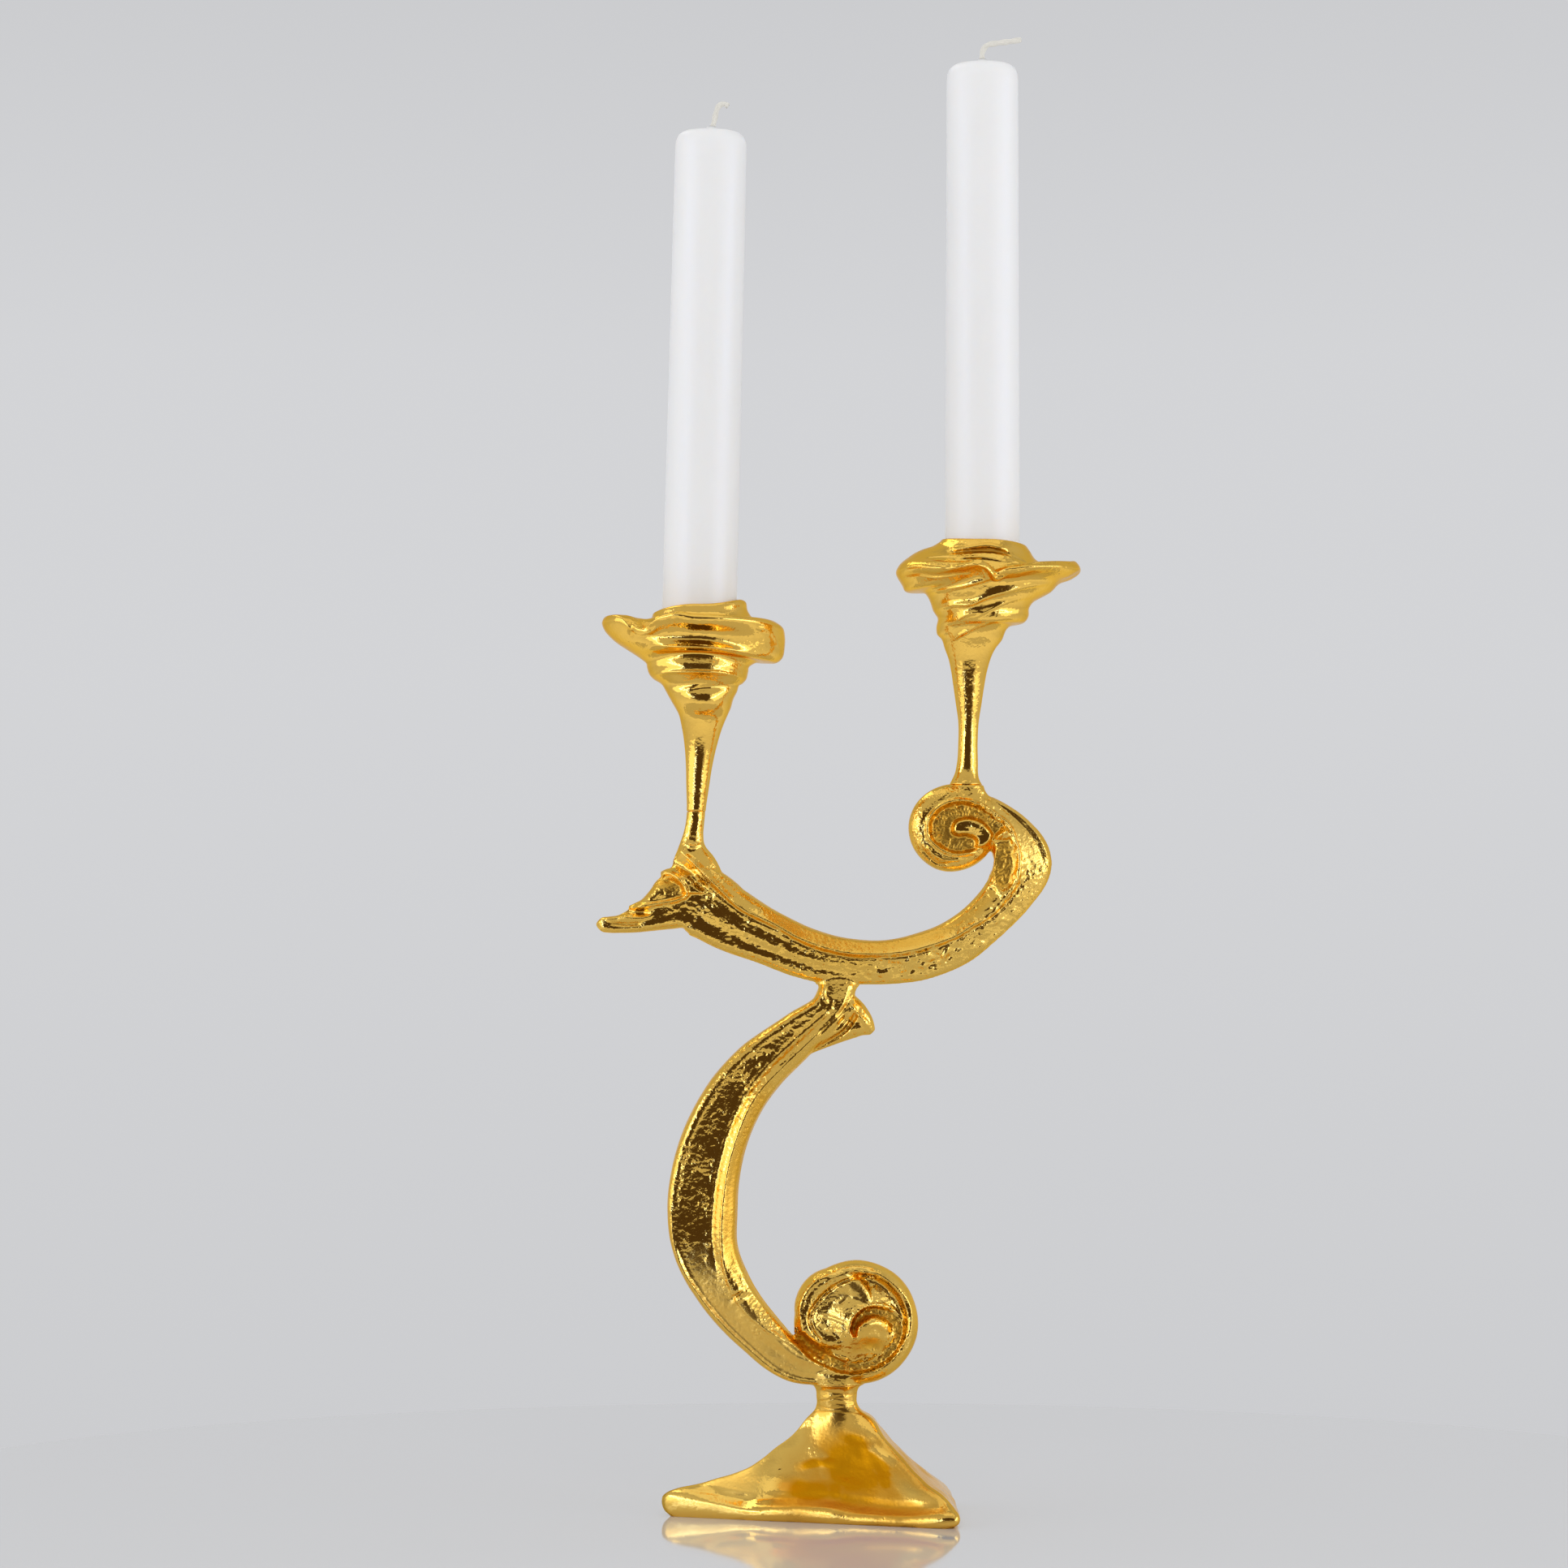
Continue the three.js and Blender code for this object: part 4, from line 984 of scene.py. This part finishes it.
def ridgeSection(width, depth, band, bevel, *face):
    # from the upper edge over the band to the ridge, and down the face to the lower edge
    half = width / 2
    ridge = half - band
    low = bevel - half
    field = ridge - low
    steps = [(ridge - field * down, share) for down, share in zip((0.27, 0.5, 0.74, 0.95), face)]
    outline = [
        (half, 0), (half - band * 0.1, 0.45), (half - band * 0.45, 0.8), (ridge + 0.3, 0.985), (ridge, 1),
        *steps, (low, face[-1] * 0.95), (low - bevel * 0.6, face[-1] * 0.66), (-half, 0),
    ]
    return bothFaces(outline, depth)


makeScroll("upperScrollCast", "upper_scroll", upperScroll, ridgeSection)


# Foot: a three-cornered casting drawn up into a filed neck, with a pocket for the nut underneath

foot = {
    # z, reach of the tip and of the heel, half depth, sharpness of the corners, share and flare of the neck
    "levels": [
        (0, 51.4, 32.4, 34.2, 16, 0, 0),
        (1.1, 53.2, 33.9, 35.5, 16, 0, 0),
        (2.6, 54, 34.5, 36, 16, 0, 0),
        (4, 53.7, 34.4, 35.8, 16, 0, 0),
        (5, 52.2, 34, 35.2, 15, 0, 0),
        (5.8, 49.6, 33.4, 34, 15, 0, 0),
        (7.2, 43.8, 32.3, 32, 14, 0, 0),
        (9.4, 38, 29.8, 29.4, 12, 0, 0),
        (11.8, 32, 26.2, 26, 10, 0, 0),
        (16.4, 25, 20.8, 20, 8, 0, 0),
        (21, 20.4, 17, 15.4, 6, 0.04, 0),
        (25.6, 16.2, 15, 12.4, 5, 0.24, 0),
        (29.2, 14.4, 14.4, 10, 4, 0.5, 0),
        (31.8, 10, 10, 7.4, 4, 0.8, 0),
        (34.8, 6, 6, 5, 4, 1, 0),
        (37.6, 6, 6, 5, 4, 1, 0.5),
        (38.6, 6, 6, 5, 4, 1, 1.3),
    ],
    "sides": 220,
    "rings": 210,
    "heightPace": 1.6,        # rings are spaced by their reach and by their height times this
    "leastSharpness": 3,
    "neck": (6, 5),           # radius along x, along y
    "neckShift": -0.4,
    "pocketRadius": 6.6,
    "pocketDepth": 14,
    # further rings, as shares of the way: roof of the pocket, its wall, the underside and the top
    "roofRings": (0.1, 0.6, 0.95),
    "wallRings": (1, 0.97, 0.5, 0.03, 0),
    "underRings": (0.97, 0.9, 0.7, 0.45, 0.2, 0.04),
    "topRings": (0.96, 0.6, 0.1),
    "uneven": [(0.4, 17, 5), (0.3, 6, 6)],  # height, size, seed
    "flatBelow": 0.25,        # what is lower than this lies on the table
    "lipHeight": 5,           # height of the lip in the levels above
    "lipFade": 8.5,           # height by which the lip's waves have mostly died away
    "lipPasses": 6,           # how often the lip is smoothed
    # turn in degrees, height of the rolled lip
    "lip": [(-180, 8.4), (-168, 6.6), (-157, 3.2), (-129, 4.6), (-100, 4.2), (-82, 2.8), (-69, 2.2),
            (-57, 2.2), (-51, 3), (-46, 4.4), (-38, 3.8), (0, 3.4), (38, 4), (46, 4.4), (57, 2.6),
            (80, 3), (110, 4), (140, 3.4), (158, 3.4), (168, 6.4), (180, 8.4)],
    "strokes": [
        # swellings down the left and the right of the neck
        (5, 0.5, [(-9, 26), (-16.8, 18.4), (-25.5, 12), (-31.5, 8)]),
        (2.6, 0.6, [(8, 28), (15.3, 21), (23.3, 12.6), (30, 7)]),
        # the hollow in the middle, painted deep gold as painted shade
        (14, -0.7, [(-12, 10), (-3, 14), (8, 12), (17, 8)], 0.95),
        (8, -0.4, [(-3, 26), (1, 21), (6, 16), (12, 12)], 0.4),
        # dents, and some swellings, painted deeper gold as painted shade, with paler, more satin swellings
        # between them
        (3, -0.4, [(-16, 10.6), (-9, 9), (-2, 9.4)], 0.5),
        (2.4, -0.3, [(-3, 14.4), (3, 13), (9, 12.4)], 0.4),
        (2, -0.3, [(1, 24.6), (6, 23), (11, 22.6)], 0.4),
        (1.8, 0.3, [(8.4, 23), (11, 20.4), (15.4, 17.4)], -0.5),
        (2.4, 0.3, [(16, 13), (20, 9.6), (25, 7.4)], -0.5),
        (2.2, 0.3, [(-8, 20), (-4.4, 17), (-4, 14)], -0.4),
        (2.2, -0.3, [(5, 22), (6.6, 19.4), (7, 16.6)], 1),
        (2, -0.25, [(10, 18.4), (12.6, 15.4), (13.4, 12)], 1),
        (1.6, 0.25, [(-12, 15), (-6, 16.6), (0, 16.4)], 0.6),
        (1.2, 0.3, [(0.4, 12), (2, 11.6), (3.2, 11.8)], 0.4),
        # the dish at the tip, and the groove along the lip, both painted deeper gold as painted shade
        (2.6, -1.3, [(-41, 7.4), (-35, 6.6), (-29, 5.6), (-23, 5)], 0.3),
        (2.4, -0.6, [(-22, 6), (-14, 6.2), (-4, 6.8), (6, 6), (16, 5), (26, 5.2)], 0.2),
        # the satin tip, and the neck
        (9, 0, [(-14, 22), (-22, 14), (-34, 8), (-46, 6)], -0.7),
        (7, 0, [(-0.4, 31.6), (-0.4, 34), (-0.4, 39)], 0.15),
        # file marks across the neck
        (0.4, -0.08, [(-6, 37.4), (-1, 36.6), (3, 36.2)], 0.2),
        (0.4, -0.07, [(-3, 35), (2, 35.9), (6, 36.2)], 0.2),
        (0.4, -0.08, [(-6, 34), (0, 34.9), (3, 34.2)], 0.2),
        (0.4, -0.07, [(-1, 33.6), (3, 33.1), (7, 33.6)], 0.2),
        (0.4, -0.06, [(-7, 32.8), (-2, 32), (3, 32.4)], 0.2),
        (0.4, -0.06, [(-8, 30.8), (0, 31), (6, 30.6)], 0.3),
    ],
}


def footReach(turn, tip, heel, halfDepth, sharpness):
    # three straight sides, with corners as sharp as asked
    slope = np.arctan2(tip + heel, halfDepth)
    flank = tip * np.cos(slope)
    total = np.zeros_like(turn)
    for facing, distance in ((0, heel), (pi - slope, flank), (pi + slope, flank)):
        total += (np.maximum(0, np.cos(turn - facing)) / distance) ** sharpness
    return total ** (-1 / sharpness)


def makeFoot():
    turn = fullTurn(foot["sides"], -pi)
    lip = np.interp(np.degrees(turn), *np.array(foot["lip"]).T)
    for _ in range(foot["lipPasses"]):
        lip = (np.roll(lip, 1) + lip * 2 + np.roll(lip, -1)) / 4
    levels = np.array(foot["levels"], float)
    paced = np.column_stack([levels[:, 0] * foot["heightPace"], levels[:, 1], levels])
    neckWide, neckDeep = foot["neck"]
    rings = []
    for z, tip, heel, halfDepth, sharpness, oval, flare in smoothRows(paced, foot["rings"])[:, 2:]:
        corner = footReach(turn, tip, heel, halfDepth, max(sharpness, foot["leastSharpness"]))
        oval = min(max(oval, 0), 1)
        wide = corner * (1 - oval) + (neckWide + flare) * oval
        deep = corner * (1 - oval) + (neckDeep + flare) * oval
        wave = (lip / foot["lipHeight"] - 1) * np.exp(-((z / foot["lipFade"]) ** 2))
        x = wide * np.cos(turn) + foot["neckShift"] * oval
        rings.append(np.stack([x, deep * np.sin(turn), z * (1 + wave)], 1))
    base = rings[0]
    pocket = foot["pocketRadius"] * np.stack([np.cos(turn), np.sin(turn), turn * 0], 1)
    top = rings[-1]
    deepest = pocket + np.array([0, 0, foot["pocketDepth"]])
    roof = [deepest * (share, share, 1) for share in foot["roofRings"]]
    wall = [pocket + (deepest - pocket) * share for share in foot["wallRings"]]
    under = [base + (pocket - base) * share for share in foot["underRings"]]
    crown = [top * (share, share, 1) for share in foot["topRings"]]
    bm = bmesh.new()
    rollTube(bm, np.array(roof + wall + under + rings + crown))
    mesh = toMesh(bm, "footCast")
    for uneven in foot["uneven"]:
        roughen(mesh, *uneven)
    carve(mesh, foot["strokes"], tool["allRound"])
    points, _ = readSurface(mesh)
    heights = np.minimum(points[:, 2], levels[-1, 0])
    points[:, 2] = np.where(heights < foot["flatBelow"], 0, heights)
    movePoints(mesh, points)
    dress("footCast", mesh, "holder", "foot", smoothGilt)


makeFoot()


# Candle cups: a stem that opens into wrapped bands, a wavy brim and a collar round the socket.
# A row is the radius and the height above the stem's foot, at the left, the front, the right and the back,
# or once where it is the same all round

cupMesh = {
    "sides": 300,
    "rings": 320,
    "swaySteps": 120,
    "leastRadius": 0.2,
}

leftCup = {
    "place": (-42.3, 206.9),
    "lean": 1.43,
    # height, sideways bend of the axis
    "sway": [(-1, 0.5), (12, 1), (18, 1.3), (24, 1.6), (29.5, 1.8), (33, 1.2), (36, 0.7), (39, 0.1),
             (44, 0), (70, 0)],
    "rows": [
        (2.45, -0.22),
        (2.78, 0.06),
        (2.8, 0.5),
        (3.4, 7.6),
        (3.9, 13.3),
        (4.75, 19.1),
        (6.05, 24.8, 6.4, 24.6, 6.05, 24.8, 6.05, 24.8),
        (7.1, 28, 7.6, 27.2, 7.1, 28, 7.1, 28),
        (8.4, 30.7, 9.9, 29.4, 8.4, 30.7, 8.4, 30.7),
        (9.5, 33.3, 11.2, 31.6, 9.6, 33.3, 9.6, 33.3),
        (10.2, 35, 11.3, 33.6, 10.8, 35.2, 10.4, 35),
        (11, 36.8, 10.7, 36, 11.6, 36.9, 11.2, 36.6),
        (13.2, 38.4, 13.2, 38.6, 13, 37.8, 13.2, 38.4),
        (14.2, 39.6, 14.6, 39.6, 14.2, 39, 14.4, 39.6),
        (14.9, 41.6, 15.2, 41.6, 14.8, 41, 15, 41.6),
        (15.3, 43, 14.8, 44.2, 15.2, 42.8, 14.9, 43.8),
        (16.4, 43.9, 14.9, 45.2, 16.8, 43.8, 15.2, 45.4),
        (19.8, 46.1, 17.1, 45.8, 20.4, 43.9, 17, 46.6),
        (24, 48.7, 16.4, 47.2, 23.2, 44.1, 19.4, 48.6),
        (26.4, 50.8, 15.4, 49.2, 24.9, 45.8, 21, 51),
        (27.8, 52.6, 16.4, 51.4, 25.4, 48.8, 22, 53),
        (28.4, 54.6, 19, 53.2, 25.4, 51.6, 23.6, 54.2),
        (27.4, 56.2, 21.8, 54.8, 24.9, 54, 24.4, 55.4),
        (24, 56.4, 22.4, 55.9, 22.6, 55.8, 23.2, 56.4),
        (19.4, 55.8, 19.8, 55.1, 18.6, 56.2, 19.4, 55.8),
        (16, 55.6, 16, 55.4, 15.8, 57, 16, 56.2),
        (14, 56.2, 14, 57, 14.2, 59.2, 14, 57.4),
        (13.3, 57.6, 13.2, 59.3, 13.5, 61.7, 13.3, 59),
        (12.1, 58, 12.1, 59.7, 12.1, 62.2, 12.1, 59.4),
        (11.5, 57.4, 11.5, 59, 11.5, 61.5, 11.5, 58.8),
        (11.4, 40),
        (0.3, 40),
    ],
    # dips and bulges: first row, last row, turn and spread in degrees, inwards, downwards
    "dips": [(17, 22, -90, 34, -4, 0), (20, 25, -134, 12, 1.2, 4), (20, 25, -104, 7, -0.3, -0.6),
             (20, 25, 40, 16, 0.8, 1.2), (20, 25, 100, 14, 1.4, 1.2)],
    "strokes": [
        # the lower edges of the two bands, and a fold of the cone
        ((1.6, 0.6), 0.6, [(-56.7, 252.7), (-53.7, 253.9), (-47.7, 253.5), (-41.2, 253.2), (-36.4, 253.3),
                           (-31.1, 252.8), (-27, 252)]),
        ((1.4, 0.6), 0.5, [(-54.9, 245.2), (-53, 246.1), (-44.8, 246.4), (-32.9, 246.1), (-27.5, 245.2)]),
        ((3, 0.8), 0.6, [(-47, 241), (-41.2, 242.7), (-32.9, 243.7)]),
        (0.7, 0.5, [(-56, 252.9), (-50, 253.6), (-44, 253.4), (-38, 253), (-33, 252.6), (-29, 251.6)]),
        (0.6, 0.4, [(-54.4, 246), (-48, 246.7), (-40, 246.7), (-33, 246.4), (-28.4, 245.6)]),
        # the fold behind the left wing
        (1.1, -0.8, [(-62, 262.4), (-60.2, 259.8), (-60.4, 257.4)]),
        (1.2, -0.5, [(-58, 260), (-55, 259), (-52.4, 260.4)]),
        (0.8, 0.4, [(-24, 259.4), (-19.4, 258.2), (-17.2, 254)]),
    ],
}

rightCup = {
    "place": (37.9, 214.8),
    "lean": 0,
    "sway": [(-1, -0.2), (6, -0.1), (17, 0.2), (36, 0.5), (39.7, 0.7), (42.6, 1.3), (45.4, 2.3),
             (48.4, 3.6), (51, 4.3), (80, 4.3)],
    "rows": [
        (5.2, -0.2, 4.9, -0.2, 4.4, -0.2, 4.9, -0.2),
        (4.6, 1, 4.3, 1, 3.7, 1, 4.3, 1),
        (3.7, 3, 3.5, 3, 3.2, 3, 3.5, 3),
        (3.1, 6),
        (2.85, 12),
        (3, 18),
        (3.8, 23.6),
        (4.5, 28.4),
        (5.4, 33.6),
        (6.3, 37),
        (7.5, 39.8),
        (8.9, 42.4),
        (10.8, 44, 10, 44.6, 9.2, 45.4, 10, 44.8),
        (11.6, 45.6, 11.4, 46, 10.4, 46.6, 11.4, 46.2),
        (12, 46.8, 13, 46.8, 13.2, 47.2, 13, 47),
        (12.5, 48.6, 14.2, 48.6, 14, 49, 14, 48.8),
        (14.4, 50.8, 14.6, 50.8, 13.6, 51.4, 14.2, 51.2),
        (15.6, 53, 15.4, 52.8, 14.4, 53.2, 15, 53.2),
        (16.8, 55, 16.8, 55, 15.8, 54.2, 16.6, 55),
        (18.4, 56.2, 17.6, 57.2, 19.2, 56.2, 18.4, 57.6),
        (23.2, 56.4, 19, 59.2, 21.8, 58.8, 20.8, 59.4),
        (24.6, 58.4, 21.6, 60.4, 25.6, 60.3, 22.6, 60.6),
        (26.4, 61.8, 23.8, 61.1, 27.8, 62.4, 23.6, 61.8),
        (25.6, 63.8, 23.2, 62.6, 26.6, 64.5, 22.8, 63.2),
        (22, 66.8, 19.8, 62.2, 22, 63.7, 20, 64.6),
        (18.6, 68.6, 16.6, 63.6, 17.2, 64.3, 16.8, 67),
        (15, 69.8, 14.9, 66.6, 14.5, 66, 15, 69.4),
        (13, 71, 13.6, 69.4, 13, 68.6, 13.6, 71),
        (12.1, 71.6, 12.1, 70.7, 12.1, 69.7, 12.1, 71.4),
        (11.5, 70.9, 11.5, 70, 11.5, 69.2, 11.5, 70.7),
        (11.4, 51.8),
        (0.3, 51.8),
    ],
    "dips": [(20, 24, -84, 6, 1.4, 2.4), (20, 24, -72, 11, 0.5, 1.2), (20, 24, -98, 7, -0.8, -0.9),
             (20, 24, -8, 8, 0, -0.4), (20, 24, 60, 14, 1, 1.4), (20, 24, 130, 15, 1.2, 1)],
    "strokes": [
        # ribbons that wind up to the right, each steep on its lower side
        ((2.4, 0.6), 1, [(24.4, 270), (31.3, 270.6), (37, 271.4), (43.3, 273.1), (46, 274)]),
        ((2.6, 0.6), 1.1, [(28, 265.4), (33, 266), (38.7, 266.2), (41, 267.2), (49.1, 269.7),
                           (54.8, 271.2), (62.3, 272.8)]),
        ((1.8, 0.6), 0.6, [(40, 262.6), (43.9, 264.6), (51.4, 267.7), (57.1, 269)]),
        ((3, 0.7), 1, [(32.4, 256), (36, 258), (42.2, 260.6), (48, 262), (55, 262.4)]),
        ((1.4, 0.6), 0.5, [(33, 261), (37, 263.2), (41, 264)]),
        # the curled end of the left sheet, and the bead of the right one, with the grooves under the beads
        # painted deeper gold as painted shade
        (1, 0.9, [(31, 275.6), (35, 276.6), (38.7, 277), (40.6, 276), (41.8, 274.2), (43.4, 273.4)]),
        (0.9, 0.9, [(45, 275.2), (50, 276), (56, 276.6), (62, 277), (66, 277.2)]),
        (0.9, -0.9, [(44, 273.4), (50, 274.2), (56, 274.8), (62, 275.4)], 0.3),
        (0.9, 0.9, [(18, 277), (22, 277.2), (27, 276.4), (31, 276)]),
        (0.9, -0.8, [(18.4, 275.2), (23, 275.4), (28, 274.6), (34, 275), (38.6, 275.4)], 0.3),
        # folds of the collar, the groove among them painted deeper gold as painted shade
        ((1.6, 0.6), 0.5, [(24, 280), (30, 280.4), (37, 279.9), (44, 280), (50, 279), (54, 277.6)]),
        ((1.2, 0.5), 0.4, [(44, 283), (48, 281.8), (55.4, 278.4)]),
        (0.8, 0.8, [(32.7, 282.3), (38, 282.9), (43.4, 283.4), (49.4, 282.4)]),
        (0.8, -0.7, [(32, 281.4), (38, 281.8), (44, 281.9), (50, 280.8)], 0.4),
        (0.7, 0.5, [(33, 279.4), (38, 279.7), (44, 279.4), (49.4, 278.4)]),
    ],
}


def aroundTurn(row, turn):
    # values set at the left, front, right and back, passed from one to the next in smooth quarter turns
    quarter = (turn + pi) / (pi / 2)
    low = np.floor(quarter).astype(int) % 4
    share = quarter - np.floor(quarter)
    ease = (1 - np.cos(pi * share)) / 2
    values = np.resize(row, (4, 2))
    return values[low] + (values[(low + 1) % 4] - values[low]) * ease[:, None]


def makeCup(name, node, cup):
    turn = fullTurn(cupMesh["sides"], -pi)
    profiles = np.array([aroundTurn(row, turn) for row in cup["rows"]])
    for first, last, degrees, spread, inwards, downwards in cup["dips"]:
        away = (np.degrees(turn) - degrees + 180) % 360 - 180
        bend = np.exp(-((away / spread) ** 2))
        for k in range(first, last + 1):
            share = 1 if first < k < last else 0.5
            profiles[k, :, 0] -= inwards * bend * share
            profiles[k, :, 1] -= downwards * bend * share
    paced = np.column_stack([profiles.mean(1), profiles.reshape(len(profiles), -1)])
    fine = smoothRows(paced, cupMesh["rings"])[:, 2:].reshape(cupMesh["rings"], len(turn), 2)
    radius = np.maximum(fine[..., 0], cupMesh["leastRadius"])
    height = fine[..., 1]
    sway = np.interp(height, *smoothRows(cup["sway"], cupMesh["swaySteps"]).T)
    rings = np.stack([radius * np.cos(turn) + sway, radius * np.sin(turn), height], 2)
    mesh = standTube(name, rings, cup["place"], cup["lean"])
    carve(mesh, cup["strokes"], tool["allRound"])
    dress(name, mesh, "holder", node, cupGilt)


makeCup("leftCupCast", "left_candle_cup", leftCup)
makeCup("rightCupCast", "right_candle_cup", rightCup)


# Candles: dipped wax with a softened top, and a plaited wick bent over at its tip

candle = {
    # radius and height of the wax, from the foot of the wick's bore round to its mouth
    "wax": [(1.15, 0), (8, 0), (10.4, 0.1), (10.95, 0.7), (11, 2), (10.75, 80), (10.5, 150), (10.48, 154),
            (10.3, 156), (9.6, 157.6), (8.4, 158.5), (6, 158.9), (3.4, 159), (2.1, 159.3), (1.6, 160),
            (1.15, 160.5), (1.15, 159), (1.15, 80), (1.15, 0)],
    "waxSides": 96,
    "waxGaps": (1.5, 6),      # most that the radius and the height change from ring to ring
    "wickSides": 20,
    "wickSteps": 260,
    "wickRadius": 0.86,
    "plaitPitch": 3.4,
    "plaitMean": 0.9,         # mean of the surface, and the rise of the strands, as shares of the radius
    "plaitRise": 0.14,
    "sides": [
        {"side": "left", "place": (-41.29, 247.2), "lean": 1.43,
         "tip": [(0, 0.3), (0, 150), (0.3, 160), (0.85, 162.4), (1.2, 164.4), (2, 166.5), (3.4, 167.3),
                 (4.8, 166.6)]},
        {"side": "right", "place": (42.2, 266.9), "lean": 0,
         "tip": [(0, 0.3), (0, 150), (-0.1, 160.4), (0.1, 162.8), (1.2, 164.5), (3.6, 165.1),
                 (7.4, 165.6), (11.4, 166.2)]},
    ],
}


def plaitSection(length):
    # two pairs of strands that wind round the wick in opposite directions
    turn = fullTurn(candle["wickSides"])
    twist = 2 * pi * length / candle["plaitPitch"]
    strands = np.maximum(np.cos(2 * turn - twist), np.cos(2 * turn + twist))
    reach = candle["wickRadius"] * (candle["plaitMean"] + candle["plaitRise"] * strands)
    return np.stack([-reach * np.cos(turn), reach * np.sin(turn)], 1)


def makeCandle(side, place, lean, tip):
    body = side + "_candle"
    rows = []
    radiusGap, heightGap = candle["waxGaps"]
    for (r0, z0), (r1, z1) in zip(candle["wax"][:-1], candle["wax"][1:]):
        steps = 1 + int(abs(z1 - z0) / heightGap) + int(abs(r1 - r0) / radiusGap)
        for k in range(steps):
            radius = r0 + (r1 - r0) * k / steps
            rows.append((0, z0 + (z1 - z0) * k / steps, radius, radius))
    radius, height = candle["wax"][-1]
    rows.append((0, height, radius, radius))
    wax = standTube("wax", postRings(rows, candle["waxSides"]), place, lean)
    dress(side + "CandleWax", wax, body, body + "_wax", whiteWax)

    path = smoothRows(tip, candle["wickSteps"])
    run = np.concatenate([[0], np.cumsum(np.hypot(*np.diff(path, axis=0).T))])
    wick = standTube("wick", armRings(np.column_stack([path, run]), plaitSection), place, lean)
    dress(side + "CandleWick", wick, body, body + "_wick", waxedCotton)


for one in candle["sides"]:
    makeCandle(**one)


# Studs, washer and nut stay as the CAD gives them

for node in ("foot_stud", "foot_washer", "foot_nut", "scroll_stud", "left_cup_stud", "right_cup_stud"):
    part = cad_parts[node]
    part.data.materials.clear()
    part.data.materials.append(turnedSteel)
print("fixings finished in steel")
